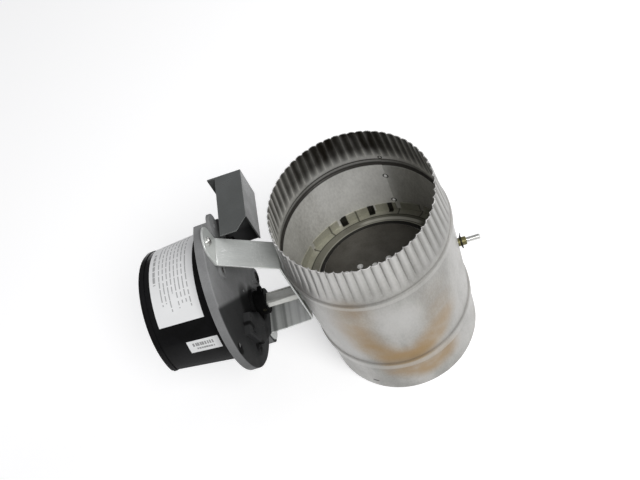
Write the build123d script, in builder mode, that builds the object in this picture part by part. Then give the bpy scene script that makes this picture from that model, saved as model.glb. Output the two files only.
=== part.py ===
# Motorised vent damper for a six-inch round flue, in millimetres.
# +Z is the duct axis towards the crimped end, and the origin is the centre of the plain end's mouth.
# The blade's shaft lies along X, with the actuator at -X and the free stud at +X.
import os
from math import acos, cos, degrees, hypot, pi, radians, sin, tan

from build123d import *

os.makedirs("parts", exist_ok=True)

# Driving dimensions of the round pipe
pipe_radius = 76.2
pipe_sheet = 0.8
pipe_length = 222.0
crimp_length = 41.0
crimp_count = 60
crimp_crest_at_mouth = 71.6
crimp_depth_at_mouth = 2.4
crimp_depth_at_foot = 0.2
bead_rise = 1.6
upper_bead_width = 9.0
lower_bead_width = 13.0
upper_bead_drop = 48.5
lower_bead_height = 54.0
lap_start_angle = 55.0
lap_width_angle = 22.0
lap_bead_gap = 1.0
seam_rivet_rises = (-31.0, 2.0)
seam_rivet_bead_drop = 21.5

# Driving dimensions of the shaft and the blade
shaft_height = 111.0
shaft_width = 14.5
shaft_depth = 8.0
shaft_wall = 1.5
shaft_corner = 1.6
shaft_right_end = 50.0
shaft_seam_place = 4.3
shaft_seam_width = 0.8
shaft_hole_clearance = 1.1
blade_rest_angle = 14.0
blade_radius = 53.0
blade_thickness = 1.2
blade_edge_bevel = 0.3
blade_rivet_places = ((-31.0, -2.0), (-17.0, 2.0), (-3.0, -2.0), (11.0, 2.0), (25.0, -2.0))
stud_radius = 2.5
stud_reach = 97.0
stud_head_length = 16.0
stud_tip_bevel = 0.8
stud_pin_end = 0.6
stud_pin_bevel = 0.3
running_clearance = 0.05
fixed_clearance = 0.02

# Driving dimensions of the stop ring
ring_gap = 2.2
ring_drop = 2.0
ring_sheet = 1.0
ring_tab_height = 12.0
ring_notch_foot = 2.6
ring_shaft_slot = 22.0
ring_stud_slot = 14.0
ring_notch_width = 5.0
ring_notch_angles = (24, 44, 64, 84, 112, 142)

# Driving dimensions of the rivets and screws
rivet_shank = 1.5
rivet_head_radius = 3.0
rivet_head_height = 1.1
rivet_head_seat = 0.08
rivet_crown_share = 0.6
blind_head_overhang = 0.5
screw_shank = 2.0
screw_head_radius = 3.8
screw_head_height = 2.2
screw_slot_width = 0.9
screw_slot_share = 1.4
screw_point = 0.5
screw_shoulder_share = 0.6
screw_crown_share = 0.7

# Driving dimensions of the pivot bush and its push-on washer
bush_radius = 4.0
bush_reach = 7.8
bush_flange_radius = 6.5
bush_flange_thickness = 1.2
bush_wall_gap = 0.4
bush_end_bevel = 0.5
washer_outer_radius = 9.6
washer_body_radius = 6.6
washer_thickness = 0.7
washer_stand_off = 0.4
washer_dish = 3.6
washer_petals = 8
washer_petal_width = 2.6

# Driving dimensions of the hat bracket
bracket_width = 29.0
bracket_sheet = 1.8
bracket_bend_radius = 3.0
bracket_stand_off = 1.8
bracket_web_rise = 64.0
bracket_web_drop = 34.0
bracket_upper_fold_rise = 97.0
bracket_lower_fold_drop = 36.5
bracket_upper_pad_rise = 124.0
bracket_lower_pad_drop = 61.0
bracket_pad_corner = 13.5
bracket_rivet_rises = (-20.0, 33.0)
upper_pad_screw_rise = 113.0
lower_pad_screw_drop = 51.0
pad_margin = 1.0

# Driving dimensions of the actuator's base casting; places are a y and a rise over the shaft
base_front = -126.0
base_thickness = 8.0
base_radius = 79.0
base_rise = 41.0
base_corner_angle = 41.0
base_corner_distance = 62.5
base_far_edge = 52.0
base_ear_width = 31.0
base_ear_corner = 10.0
boss_radius = 15.0
boss_rise = 3.0
step_rise = 6.0
step_bevel = 1.0
step_corners = ((-53, 38), (-30, 37), (-15, 9), (-15, -8), (6, -21), (6, -30), (-22, -26), (-46, 1))
groove_place = (-45.0, 21.0)
groove_width = 3.0
groove_length = 11.0
groove_depth = 2.0
lug_radius = 8.0
lug_rise = 2.0
counterbore_depth = 3.0
counterbore_clearance = 0.8
base_edge_bevel = 0.8
guard_screw_reach = 7.0
spare_hole_radius = 2.6
edge_hole_inset = 8.0
edge_hole_angle = 170.3
large_lug_inset = 16.8
large_lug_angle = 62.2
plain_lug_place = (-47.0, 1.0)
spare_lug_radius = 11.0

# Driving dimensions of the cover
cover_end_radius = 60.0
cover_taper = 5.0
cover_flat_angle = 217.0
cover_flat_distance = 48.0
cover_rise = 27.0
cover_depth = 69.0
cover_wall = 2.5
cover_end_round = 1.5
cover_end_wall = 3.0
cover_rim_rise = 1.0
cover_rim_width = 3.0
cover_rim_set_back = 3.0
cover_screw_grip = 12.0
cover_boss_radius = 8.0
cover_boss_length = 21.0
cover_boss_circle = 56.0
cover_screw_angles = (100.0, -45.0)
label_thickness = 0.2
label_gap = 0.05
rating_label_angles = (28.0, 106.0)
rating_label_left = -191.5
rating_label_right = -148.5
serial_label_angles = (151.0, 11.5)
serial_label_left = -173.5
serial_label_right = -144.0

# Driving dimensions of the hub and output shaft
hub_radius = 12.5
hub_length = 10.4
hub_gap = 0.6
hub_socket_depth = 6.0
hub_pointer_width = 6.0
hub_pointer_length = 4.0
hub_pointer_rise = 3.6
hub_pointer_place = 2.0
hub_edge_round = 1.0
hub_screw_recess = 0.8
hub_screw_socket = 1.1
hub_screw_socket_depth = 1.4
output_radius = 4.0
output_back = -156.0
output_bush_radius = 6.5
output_end_bevel = 0.4

# Driving dimensions of the gear train
gear_module = 0.9
output_teeth = 48
idler_wheel_teeth = 45
small_pinion_teeth = 12
gear_width = 3.4
gear_layer_gap = 0.6
gear_end_gap = 1.6
gear_backlash = 0.16
tooth_addendum = 0.9
tooth_root_share = 0.78
tooth_tip_share = 0.28
gear_dedendum = 1.25
web_hole_circle_share = 0.6
web_hole_radius_share = 0.165
output_web_holes = 6
idler_web_holes = 5
idler_angle = 90.0
motor_angle = 125.0
arbor_radius = 2.0
motor_shaft_radius = 1.5
plate_thickness = 1.6
plate_radius = 42.0
plate_rise = 23.0
plate_post_radius = 3.5
plate_post_circle = 37.0
plate_post_angles = (18.0, 162.0, 222.0, 318.0)
motor_radius = 18.0
motor_length = 38.0
motor_bore_depth = 6.0
motor_screw_circle = 13.0
motor_screw_grip = 4.0
motor_end_round = 2.0
motor_nose_share = 0.3
motor_nose_length = 2.5
motor_band_place = 0.35
motor_band_width = 2.0
motor_band_depth = 0.8

# Driving dimensions of the end switches
cam_low_radius = 7.0
cam_rise = 1.4
cam_width = 4.0
cam_gap = 0.5
cam_plate_gap = 1.0
cam_margin_angle = 15.0
lever_arm = 14.0
lever_tip = 3.0
lever_sheet = 0.8
lever_width = 3.6
lever_barrel_radius = 1.7
lever_pin_radius = 0.8
lever_head_room = 0.6
switch_thickness = 6.6
switch_depth = 10.3
switch_length = 26.0
switch_set_back = 3.2
switch_ear_thickness = 1.0

# Driving dimensions of the circuit board
board_front = -192.0
board_thickness = 1.6
board_width = 66.0
board_height = 58.0
board_hole_inset = 6.0
board_corner = 4.0
board_post_radius = 3.0
board_screw_radius = 1.2
board_screw_head_radius = 2.4
board_screw_head_height = 1.1
board_screw_grip = 6.0
relay_size = (15.0, 19.0, 15.0)
relay_place = (20.0, 19.0)
relay_corner = 1.0
relay_bevel = 0.6
capacitor_radius = 5.0
capacitor_length = 14.0
capacitor_round = 0.8
capacitor_places = ((18.0, 33.0), (18.0, 44.5))
terminal_place = (-12.0, 13.0)
terminal_count = 6
terminal_pitch = 5.0
terminal_height = 8.0
terminal_rise = 10.0
terminal_well_radius = 1.6
terminal_well_depth = 3.0

# Driving dimensions of the harness guard
guard_right = -93.0
guard_far = 82.0
guard_near = 27.0
guard_top_near = 14.0
guard_top_left = -118.5
guard_cut_length = 10.0
guard_bottom_near = 28.0
guard_flange_rise = 39.0
guard_top_rise = 98.0
guard_bottom_rise = 61.0
guard_sheet = 1.4
guard_screw_places = ((33.0, 49.0), (45.0, 49.0))
socket_size = (12.0, 12.0, 12.0)
socket_place = (21.0, 71.0)
socket_corner = 1.5
socket_wall = 1.5
socket_floor_thickness = 4.0
pin_pitch = 3.6
pin_width = 1.0
pin_length = 5.0

# Places worked out from the driving dimensions
pipe_inner = pipe_radius - pipe_sheet
crimp_foot = pipe_length - crimp_length
upper_bead = pipe_length - upper_bead_drop
shaft_top = shaft_height + shaft_depth / 2
seam_rivet_heights = [shaft_height + rise for rise in seam_rivet_rises] + [upper_bead - seam_rivet_bead_drop]
bracket_rivet_heights = [shaft_height + rise for rise in bracket_rivet_rises]
bracket_web_top = shaft_height + bracket_web_rise
bracket_web_bottom = shaft_height - bracket_web_drop
bracket_upper_fold = shaft_height + bracket_upper_fold_rise
bracket_lower_fold = shaft_height - bracket_lower_fold_drop
bracket_upper_pad_end = shaft_height + bracket_upper_pad_rise
bracket_lower_pad_end = shaft_height - bracket_lower_pad_drop
upper_pad_screw_height = shaft_height + upper_pad_screw_rise
lower_pad_screw_height = shaft_height - lower_pad_screw_drop
base_height = shaft_height + base_rise
cover_height = shaft_height + cover_rise
plate_height = shaft_height + plate_rise
guard_flange_low = shaft_height + guard_flange_rise
guard_top = shaft_height + guard_top_rise
guard_bottom = shaft_height + guard_bottom_rise
blade_under = shaft_top
blade_top = blade_under + blade_thickness
ring_inner = blade_radius + ring_gap
ring_wall = pipe_inner - fixed_clearance
base_back = base_front - base_thickness
cover_back = base_back - cover_depth
web_outer = -(pipe_radius + bracket_stand_off + bracket_sheet)
web_middle = web_outer + bracket_sheet / 2
pad_middle = base_front + bracket_sheet / 2
hub_back = base_front + boss_rise + hub_gap
hub_front = hub_back + hub_length
socket_floor = hub_front - hub_socket_depth
layer_b_front = base_back - gear_end_gap
layer_b_back = layer_b_front - gear_width
layer_a_front = layer_b_back - gear_layer_gap
layer_a_back = layer_a_front - gear_width
plate_front = layer_a_back - gear_end_gap
plate_back = plate_front - plate_thickness
output_pitch = gear_module * output_teeth / 2
wheel_pitch = gear_module * idler_wheel_teeth / 2
pinion_pitch = gear_module * small_pinion_teeth / 2
idler_y = (output_pitch + pinion_pitch) * cos(radians(idler_angle))
idler_z = shaft_height + (output_pitch + pinion_pitch) * sin(radians(idler_angle))
motor_y = idler_y + (wheel_pitch + pinion_pitch) * cos(radians(motor_angle))
motor_z = idler_z + (wheel_pitch + pinion_pitch) * sin(radians(motor_angle))
shaft_hole_radius = hypot(shaft_width / 2, shaft_depth / 2) + shaft_hole_clearance
rivet_hole_radius = rivet_shank + fixed_clearance
screw_hole_radius = screw_shank + fixed_clearance


def across(x, y=0.0, z=0.0):
    """A plane square to the shaft: its own x is +Y, its own y is +Z and it faces +X."""
    return Plane(origin=(x, y, z), x_dir=(0, 1, 0), z_dir=(1, 0, 0))


def lengthways(y=0.0, z=0.0):
    """A plane along the shaft: its own x is +X, its own y is +Z and it faces -Y."""
    return Plane(origin=(0, y, z), x_dir=(1, 0, 0), z_dir=(0, -1, 0))


def radial(angle, height):
    """A plane through the duct axis: its own x points outwards at the angle, its own y is +Z."""
    a = radians(angle)
    return Plane(origin=(0, 0, height), x_dir=(cos(a), sin(a), 0), z_dir=(sin(a), -cos(a), 0))


def outward(angle, height, radius=0.0):
    """A plane that faces outwards from the duct axis, with its own y as +Z."""
    a = radians(angle)
    origin = (radius * cos(a), radius * sin(a), height)
    return Plane(origin=origin, x_dir=(-sin(a), cos(a), 0), z_dir=(cos(a), sin(a), 0))


def radial_axis(angle, height):
    a = radians(angle)
    return Axis((0, 0, height), (cos(a), sin(a), 0))


def on_circle(radius, angles, centre_z):
    places = []
    for angle in angles:
        a = radians(angle)
        places.append((radius * cos(a), centre_z + radius * sin(a)))
    return places


def over_shaft(places):
    """Points in Y and Z from pairs of a y and a rise over the shaft's axis."""
    return [(y, shaft_height + rise) for y, rise in places]


def save(piece, name):
    piece.part.label = name
    export_step(piece.part, f"parts/{name}.step")


# Round pipe: beaded wall, lap seam and crimped collar
bead_places = ((lower_bead_height, lower_bead_width / 2), (upper_bead, upper_bead_width / 2))


def beaded_wall(radius):
    start = 0.0
    for height, half in bead_places:
        Line((radius, start), (radius, height - half))
        ThreePointArc((radius, height - half), (radius + bead_rise, height), (radius, height + half))
        start = height + half
    Line((radius, start), (radius, crimp_foot))


def pleats(crest, depth):
    points = []
    for step in range(2 * crimp_count):
        angle = pi * step / crimp_count
        radius = crest - depth * (step % 2)
        points.append((radius * cos(angle), radius * sin(angle)))
    Polyline(*points, close=True)


def arc_strip(inner, outer, start_angle, sweep_angle):
    low = CenterArc((0, 0), inner, start_angle, sweep_angle)
    top = CenterArc((0, 0), outer, start_angle, sweep_angle)
    Line(low @ 0, top @ 0)
    Line(low @ 1, top @ 1)


seam_angle = lap_start_angle + lap_width_angle / 2
pipe_middle = pipe_radius - pipe_sheet / 2
lap_low = lower_bead_height + lower_bead_width / 2 + lap_bead_gap
lap_high = upper_bead - upper_bead_width / 2 - lap_bead_gap

with BuildPart() as damper_pipe:
    with BuildSketch(Plane.XZ):
        with BuildLine():
            beaded_wall(pipe_radius)
            beaded_wall(pipe_inner)
            Line((pipe_inner, 0), (pipe_radius, 0))
            Line((pipe_inner, crimp_foot), (pipe_radius, crimp_foot))
        make_face()
    revolve(axis=Axis.Z)
    with BuildSketch(Plane.XY.offset(lap_low)):
        with BuildLine():
            arc_strip(pipe_middle, pipe_radius + pipe_sheet, lap_start_angle, lap_width_angle)
        make_face()
    extrude(amount=lap_high - lap_low)
    with BuildSketch(Plane.XY.offset(crimp_foot)):
        with BuildLine():
            pleats(pipe_radius, crimp_depth_at_foot)
        make_face()
    with BuildSketch(Plane.XY.offset(pipe_length)):
        with BuildLine():
            pleats(crimp_crest_at_mouth, crimp_depth_at_mouth)
        make_face()
    loft(ruled=True)
    with BuildSketch(Plane.XY.offset(crimp_foot)):
        with BuildLine():
            pleats(pipe_inner, crimp_depth_at_foot)
        make_face()
    with BuildSketch(Plane.XY.offset(pipe_length)):
        with BuildLine():
            pleats(crimp_crest_at_mouth - pipe_sheet, crimp_depth_at_mouth)
        make_face()
    loft(ruled=True, mode=Mode.SUBTRACT)
    with BuildSketch(outward(180, shaft_height)):
        Circle(shaft_hole_radius)
    with BuildSketch(outward(0, shaft_height)):
        Circle(bush_radius + fixed_clearance)
    for height in bracket_rivet_heights:
        with BuildSketch(outward(180, height)):
            Circle(rivet_hole_radius)
    for height in seam_rivet_heights:
        with BuildSketch(outward(seam_angle, height)):
            Circle(rivet_hole_radius)
    extrude(amount=2 * pipe_radius, mode=Mode.SUBTRACT)
save(damper_pipe, "damper_pipe")


def rivet_outline(inner_face, outer_face):
    """Half section of a rivet, with a low coned head on each side of the sheets."""
    inner_face = inner_face - rivet_head_seat
    Polyline(
        (inner_face - rivet_head_height, 0),
        (inner_face - rivet_head_height, rivet_head_radius * rivet_crown_share),
        (inner_face, rivet_head_radius),
        (inner_face, rivet_shank),
        (outer_face, rivet_shank),
        (outer_face, rivet_head_radius),
        (outer_face + rivet_head_height, rivet_head_radius * rivet_crown_share),
        (outer_face + rivet_head_height, 0),
        close=True,
    )


with BuildPart() as seam_rivets:
    for height in seam_rivet_heights:
        with BuildSketch(radial(seam_angle, height)):
            with BuildLine():
                rivet_outline(pipe_inner, pipe_radius + pipe_sheet)
            make_face()
        revolve(axis=radial_axis(seam_angle, height))
save(seam_rivets, "seam_rivets")


def along_blade(rise):
    """A plane parallel to the closed blade at a height over the shaft's axis: its own x is +X."""
    lean = radians(blade_rest_angle)
    origin = (0, rise * sin(lean), shaft_height + rise * cos(lean))
    return Plane(origin=origin, x_dir=(1, 0, 0), z_dir=(0, sin(lean), cos(lean)))


def save_leaned(piece, name):
    """The blade and what turns with it are drawn level, then leaned to the closed angle."""
    leaned = piece.part.rotate(Axis((0, 0, shaft_height), (1, 0, 0)), -blade_rest_angle)
    leaned.label = name
    export_step(leaned, f"parts/{name}.step")


# Baffle ring in two halves, parallel to the closed blade, each with tabs turned up along the wall
ring_rise = shaft_depth / 2 - ring_drop
ring_slope = tan(radians(blade_rest_angle))
ring_tall = 2 * pipe_radius

for name, side in (("baffle_ring_far", 1), ("baffle_ring_near", -1)):
    with BuildPart() as baffle_ring:
        with BuildSketch(Plane.XY.offset(shaft_height - ring_tall / 2)):
            Circle(ring_wall)
            with Locations((0, -side * pipe_radius)):
                Rectangle(2 * pipe_radius, 2 * pipe_radius, mode=Mode.SUBTRACT)
        extrude(amount=ring_tall)
        with BuildSketch(along_blade(ring_rise)):
            Rectangle(4 * pipe_radius, 4 * pipe_radius)
        extrude(amount=ring_tab_height, mode=Mode.INTERSECT)
        with BuildSketch(along_blade(ring_rise + ring_sheet)):
            with Locations((0, -(ring_rise + ring_sheet) * ring_slope)):
                inside = ring_wall - ring_sheet
                Ellipse(inside, inside / cos(radians(blade_rest_angle)))
        extrude(amount=ring_tall, dir=(0, 0, 1), mode=Mode.SUBTRACT)
        with BuildSketch(along_blade(ring_rise - ring_sheet)):
            Circle(ring_inner)
            with Locations((-pipe_radius / 2, 0)):
                Rectangle(pipe_radius, ring_shaft_slot)
            with Locations((pipe_radius / 2, 0)):
                Rectangle(pipe_radius, ring_stud_slot)
        extrude(amount=2 * ring_tab_height, mode=Mode.SUBTRACT)
        for angle in ring_notch_angles:
            floor = shaft_height + ring_rise - side * ring_wall * sin(radians(angle)) * ring_slope
            turn = angle + 90 - side * 90
            with BuildSketch(outward(turn, floor + ring_notch_foot, ring_wall - 3 * ring_sheet)):
                with Locations((0, ring_tab_height)):
                    Rectangle(ring_notch_width, 2 * ring_tab_height)
            extrude(amount=5 * ring_sheet, mode=Mode.SUBTRACT)
    save(baffle_ring, name)

# Blade: a flat disc on top of the shaft
with BuildPart() as damper_blade:
    with BuildSketch(Plane.XY.offset(blade_under)):
        Circle(blade_radius)
        with Locations(*blade_rivet_places):
            Circle(rivet_hole_radius, mode=Mode.SUBTRACT)
    extrude(amount=blade_thickness)
    chamfer(edges().filter_by(GeomType.CIRCLE).sort_by(SortBy.RADIUS)[-2:], blade_edge_bevel)
save_leaned(damper_blade, "damper_blade")

# Folded box-section shaft that carries the blade, with its seam on top
stud_pin_place = (shaft_right_end - stud_head_length / 2, 0)
shaft_hollow = (shaft_width - 2 * shaft_wall, shaft_depth - 2 * shaft_wall)
with BuildPart() as blade_shaft:
    with BuildSketch(across(socket_floor, 0, shaft_height)):
        RectangleRounded(shaft_width, shaft_depth, shaft_corner)
        RectangleRounded(shaft_hollow[0], shaft_hollow[1], shaft_corner / 2, mode=Mode.SUBTRACT)
        with Locations((shaft_seam_place, shaft_depth / 2)):
            Rectangle(shaft_seam_width, 2.5 * shaft_wall, mode=Mode.SUBTRACT)
    extrude(amount=shaft_right_end - socket_floor)
    with BuildSketch(Plane.XY.offset(shaft_height)):
        with Locations(*blade_rivet_places):
            Circle(rivet_hole_radius)
    extrude(amount=shaft_depth, mode=Mode.SUBTRACT)
    with BuildSketch(Plane.XY.offset(shaft_height - shaft_depth)):
        with Locations(stud_pin_place):
            Circle(rivet_hole_radius)
    extrude(amount=2 * shaft_depth, mode=Mode.SUBTRACT)
save_leaned(blade_shaft, "blade_shaft")

with BuildPart() as blade_rivets:
    inner_face = shaft_top - shaft_wall
    for x, y in blade_rivet_places:
        with BuildSketch(lengthways(y)):
            with BuildLine():
                Polyline(
                    (x, inner_face - rivet_head_height),
                    (x + rivet_shank + blind_head_overhang, inner_face - rivet_head_height),
                    (x + rivet_shank + blind_head_overhang, inner_face),
                    (x + rivet_shank, inner_face),
                    (x + rivet_shank, blade_top),
                    (x + rivet_head_radius, blade_top),
                    (x + rivet_head_radius * rivet_crown_share, blade_top + rivet_head_height),
                    (x, blade_top + rivet_head_height),
                    close=True,
                )
            make_face()
        revolve(axis=Axis((x, y, 0), (0, 0, 1)))
save_leaned(blade_rivets, "blade_rivets")

# Round stud with a flat head that sits in the shaft's right end
with BuildPart() as pivot_stud:
    with BuildSketch(across(shaft_right_end - stud_head_length, 0, shaft_height)):
        Rectangle(shaft_hollow[0] - 2 * fixed_clearance, shaft_hollow[1] - 2 * fixed_clearance)
    extrude(amount=stud_head_length)
    chamfer(edges().filter_by(Axis.X), shaft_corner / 2)
    with BuildSketch(across(shaft_right_end, 0, shaft_height)):
        Circle(stud_radius)
    extrude(amount=stud_reach - shaft_right_end)
    chamfer(faces().sort_by(Axis.X)[-1].edges(), stud_tip_bevel)
    with BuildSketch(Plane.XY.offset(shaft_height - shaft_depth)):
        with Locations(stud_pin_place):
            Circle(rivet_hole_radius)
    extrude(amount=2 * shaft_depth, mode=Mode.SUBTRACT)
save_leaned(pivot_stud, "pivot_stud")

with BuildPart() as stud_pin:
    with BuildSketch(Plane.XY.offset(shaft_height - shaft_depth / 2 - stud_pin_end)):
        with Locations(stud_pin_place):
            Circle(rivet_shank)
    extrude(amount=shaft_depth + stud_pin_end)
    chamfer(edges().filter_by(GeomType.CIRCLE), stud_pin_bevel)
save_leaned(stud_pin, "stud_pin")

# Brass bush in the right wall, held by a dished push-on star washer
bush_inner_face = pipe_inner - bush_wall_gap
bush_outer_end = pipe_radius + bush_reach
with BuildPart() as pivot_bush:
    with BuildSketch(across(bush_inner_face - bush_flange_thickness, 0, shaft_height)):
        Circle(bush_flange_radius)
    extrude(amount=bush_flange_thickness)
    with BuildSketch(across(bush_inner_face, 0, shaft_height)):
        Circle(bush_radius)
    extrude(amount=bush_outer_end - bush_inner_face)
    chamfer(faces().sort_by(Axis.X)[-1].edges(), bush_end_bevel)
    with BuildSketch(across(bush_inner_face - bush_flange_thickness - 1, 0, shaft_height)):
        Circle(stud_radius + running_clearance)
    extrude(amount=bush_outer_end - bush_inner_face + bush_flange_thickness + 2, mode=Mode.SUBTRACT)
save(pivot_bush, "pivot_bush")

washer_back = pipe_radius + washer_stand_off
with BuildPart() as star_washer:
    with BuildSketch(across(pipe_radius, 0, shaft_height)):
        Circle(washer_body_radius)
        with PolarLocations(0, washer_petals):
            with BuildLine():
                Polyline(
                    (washer_body_radius - 1, -washer_petal_width / 2),
                    (washer_outer_radius, 0),
                    (washer_body_radius - 1, washer_petal_width / 2),
                    close=True,
                )
            make_face()
        Circle(bush_radius + fixed_clearance, mode=Mode.SUBTRACT)
    extrude(amount=washer_stand_off + washer_dish + washer_thickness)
    with BuildSketch(lengthways(0, shaft_height)):
        with BuildLine():
            Polyline(
                (washer_back, 0),
                (washer_back + washer_thickness, 0),
                (washer_back + washer_thickness + washer_dish, washer_outer_radius),
                (washer_back + washer_dish, washer_outer_radius),
                close=True,
            )
        make_face()
    revolve(axis=Axis((0, 0, shaft_height), (1, 0, 0)), mode=Mode.INTERSECT)
save(star_washer, "star_washer")

# Hat bracket: one strap folded from pad to leg, web, leg and pad
bracket_points = (
    (pad_middle, bracket_upper_pad_end),
    (pad_middle, bracket_upper_fold),
    (web_middle, bracket_web_top),
    (web_middle, bracket_web_bottom),
    (pad_middle, bracket_lower_fold),
    (pad_middle, bracket_lower_pad_end),
)
pad_screw_places = ((0, upper_pad_screw_height), (0, lower_pad_screw_height))
with BuildPart() as hat_bracket:
    with BuildSketch(lengthways(bracket_width / 2)):
        with BuildLine():
            strap_middle = FilletPolyline(*bracket_points, radius=bracket_bend_radius)
        trace(strap_middle, bracket_sheet)
    extrude(amount=bracket_width)
    fillet(edges().filter_by(Axis.X).group_by(Axis.Z)[-1], bracket_pad_corner)
    fillet(edges().filter_by(Axis.X).group_by(Axis.Z)[0], bracket_pad_corner)
    with BuildSketch(across(pad_middle - bracket_sheet)):
        with Locations(*pad_screw_places):
            Circle(screw_hole_radius)
    extrude(amount=2 * bracket_sheet, mode=Mode.SUBTRACT)
    with BuildSketch(across(web_middle - bracket_sheet)):
        with Locations((0, shaft_height)):
            Circle(shaft_hole_radius)
        for height in bracket_rivet_heights:
            with Locations((0, height)):
                Circle(rivet_hole_radius)
    extrude(amount=2 * bracket_sheet, mode=Mode.SUBTRACT)
save(hat_bracket, "hat_bracket")

with BuildPart() as bracket_rivets:
    for height in bracket_rivet_heights:
        with BuildSketch(radial(180, height)):
            with BuildLine():
                rivet_outline(pipe_inner, -web_outer)
            make_face()
        revolve(axis=radial_axis(180, height))
save(bracket_rivets, "bracket_rivets")

with BuildPart() as bracket_spacers:
    with BuildSketch(across(web_outer + bracket_sheet)):
        for height in bracket_rivet_heights:
            with Locations((0, height)):
                Circle(rivet_head_radius + 1)
                Circle(rivet_hole_radius, mode=Mode.SUBTRACT)
    extrude(amount=bracket_stand_off)
save(bracket_spacers, "bracket_spacers")

# Actuator base casting
cover_screw_places = on_circle(cover_boss_circle, cover_screw_angles, cover_height)
post_places = on_circle(plate_post_circle, plate_post_angles, plate_height)
corner_middle = base_corner_distance + base_radius / 2
corner_place = (
    corner_middle * cos(radians(base_corner_angle)),
    base_height + corner_middle * sin(radians(base_corner_angle)),
)
guard_screws_at = over_shaft(guard_screw_places)
edge_hole_at = on_circle(base_radius - edge_hole_inset, (edge_hole_angle,), base_height)
large_lug_at = on_circle(base_radius - large_lug_inset, (large_lug_angle,), base_height)
plain_lug_at = over_shaft((plain_lug_place,))
ear_top = base_height
ear_low = bracket_lower_pad_end - pad_margin
lug_top = base_front + lug_rise
counterbore_floor = lug_top - counterbore_depth

with BuildPart() as actuator_base:
    with BuildSketch(across(base_back)):
        with Locations((0, base_height)):
            Circle(base_radius)
        with Locations(corner_place):
            Rectangle(base_radius, 3 * base_radius, rotation=base_corner_angle, mode=Mode.SUBTRACT)
        with Locations((base_far_edge + base_radius / 2, base_height)):
            Rectangle(base_radius, 3 * base_radius, mode=Mode.SUBTRACT)
    extrude(amount=base_thickness)
    chamfer(faces().sort_by(Axis.X)[-1].edges(), base_edge_bevel)
    with BuildSketch(across(base_back)):
        with Locations((0, (ear_low + ear_top) / 2)):
            RectangleRounded(base_ear_width, ear_top - ear_low, base_ear_corner)
    extrude(amount=base_thickness)
    with BuildSketch(across(base_front - 1)):
        with Locations((0, shaft_height)):
            Circle(boss_radius)
    extrude(amount=boss_rise + 1)
    with BuildSketch(across(base_front - 1)):
        with BuildLine():
            Polyline(*over_shaft(step_corners), close=True)
        make_face()
    extrude(amount=step_rise + 1)
    chamfer(faces().sort_by(Axis.X)[-1].edges(), step_bevel)
    with BuildSketch(across(base_front + step_rise - groove_depth)):
        with Locations(*over_shaft((groove_place,))):
            Rectangle(groove_width, groove_length, align=(Align.CENTER, Align.MIN))
            Rectangle(groove_length, groove_width, align=(Align.MIN, Align.CENTER))
    extrude(amount=groove_depth + 1, mode=Mode.SUBTRACT)
    with BuildSketch(across(base_front - 1)):
        with Locations(*cover_screw_places, *plain_lug_at):
            Circle(lug_radius)
        with Locations(*large_lug_at):
            Circle(spare_lug_radius)
    extrude(amount=lug_rise + 1)
    with BuildSketch(across(base_back - 1)):
        with Locations(*cover_screw_places, *pad_screw_places, *post_places, *guard_screws_at):
            Circle(screw_hole_radius)
        with Locations(*edge_hole_at, *large_lug_at, *plain_lug_at):
            Circle(spare_hole_radius)
        with Locations((0, shaft_height)):
            Circle(output_bush_radius + fixed_clearance)
        with Locations((idler_y, idler_z)):
            Circle(arbor_radius + fixed_clearance)
    extrude(amount=base_thickness + step_rise + 5, mode=Mode.SUBTRACT)
    with BuildSketch(across(counterbore_floor)):
        with Locations(*cover_screw_places):
            Circle(screw_head_radius + counterbore_clearance)
    extrude(amount=step_rise + counterbore_depth, mode=Mode.SUBTRACT)
save(actuator_base, "actuator_base")


def screw_outline(seat, tip):
    """Half section of a screw along X with its head on the +X side of the seat."""
    Polyline(
        (tip, 0),
        (tip, screw_shank - screw_point),
        (tip + screw_point, screw_shank),
        (seat, screw_shank),
        (seat, screw_head_radius),
        (seat + screw_head_height * screw_shoulder_share, screw_head_radius),
        (seat + screw_head_height, screw_head_radius * screw_crown_share),
        (seat + screw_head_height, 0),
        close=True,
    )


screw_sets = (
    ("bracket_screws", base_front + bracket_sheet, base_back, pad_screw_places),
    ("cover_screws", counterbore_floor, base_back - cover_screw_grip, cover_screw_places),
    ("guard_screws", base_front + guard_sheet, base_front - guard_screw_reach, guard_screws_at),
)
for name, seat, tip, places in screw_sets:
    with BuildPart() as screws:
        for y, z in places:
            with BuildSketch(lengthways(y, z)):
                with BuildLine():
                    screw_outline(seat, tip)
                make_face()
            revolve(axis=Axis((0, y, z), (1, 0, 0)))
        with BuildSketch(across(seat + screw_head_height / 2)):
            with Locations(*places):
                Rectangle(screw_slot_share * screw_head_radius, screw_slot_width)
                Rectangle(screw_slot_width, screw_slot_share * screw_head_radius)
        extrude(amount=screw_head_height, mode=Mode.SUBTRACT)
    save(screws, name)

# Black cover: a deep cup with screw bosses and a raised rim near its far end
board_post_places = []
board_post_y = board_width / 2 - board_hole_inset
board_post_z = board_height / 2 - board_hole_inset
for way_y in (-1, 1):
    for way_z in (-1, 1):
        board_post_places.append((way_y * board_post_y, cover_height + way_z * board_post_z))
board_back = board_front - board_thickness

cover_slope = tan(radians(cover_taper))


def cover_outline(growth):
    """Round outline with one flat, larger than the cover's end by the growth."""
    radius = cover_end_radius + growth
    half = degrees(acos((cover_flat_distance + growth) / radius))
    arc = CenterArc((0, 0), radius, cover_flat_angle + half, 360 - 2 * half)
    Line(arc @ 1, arc @ 0)


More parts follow.
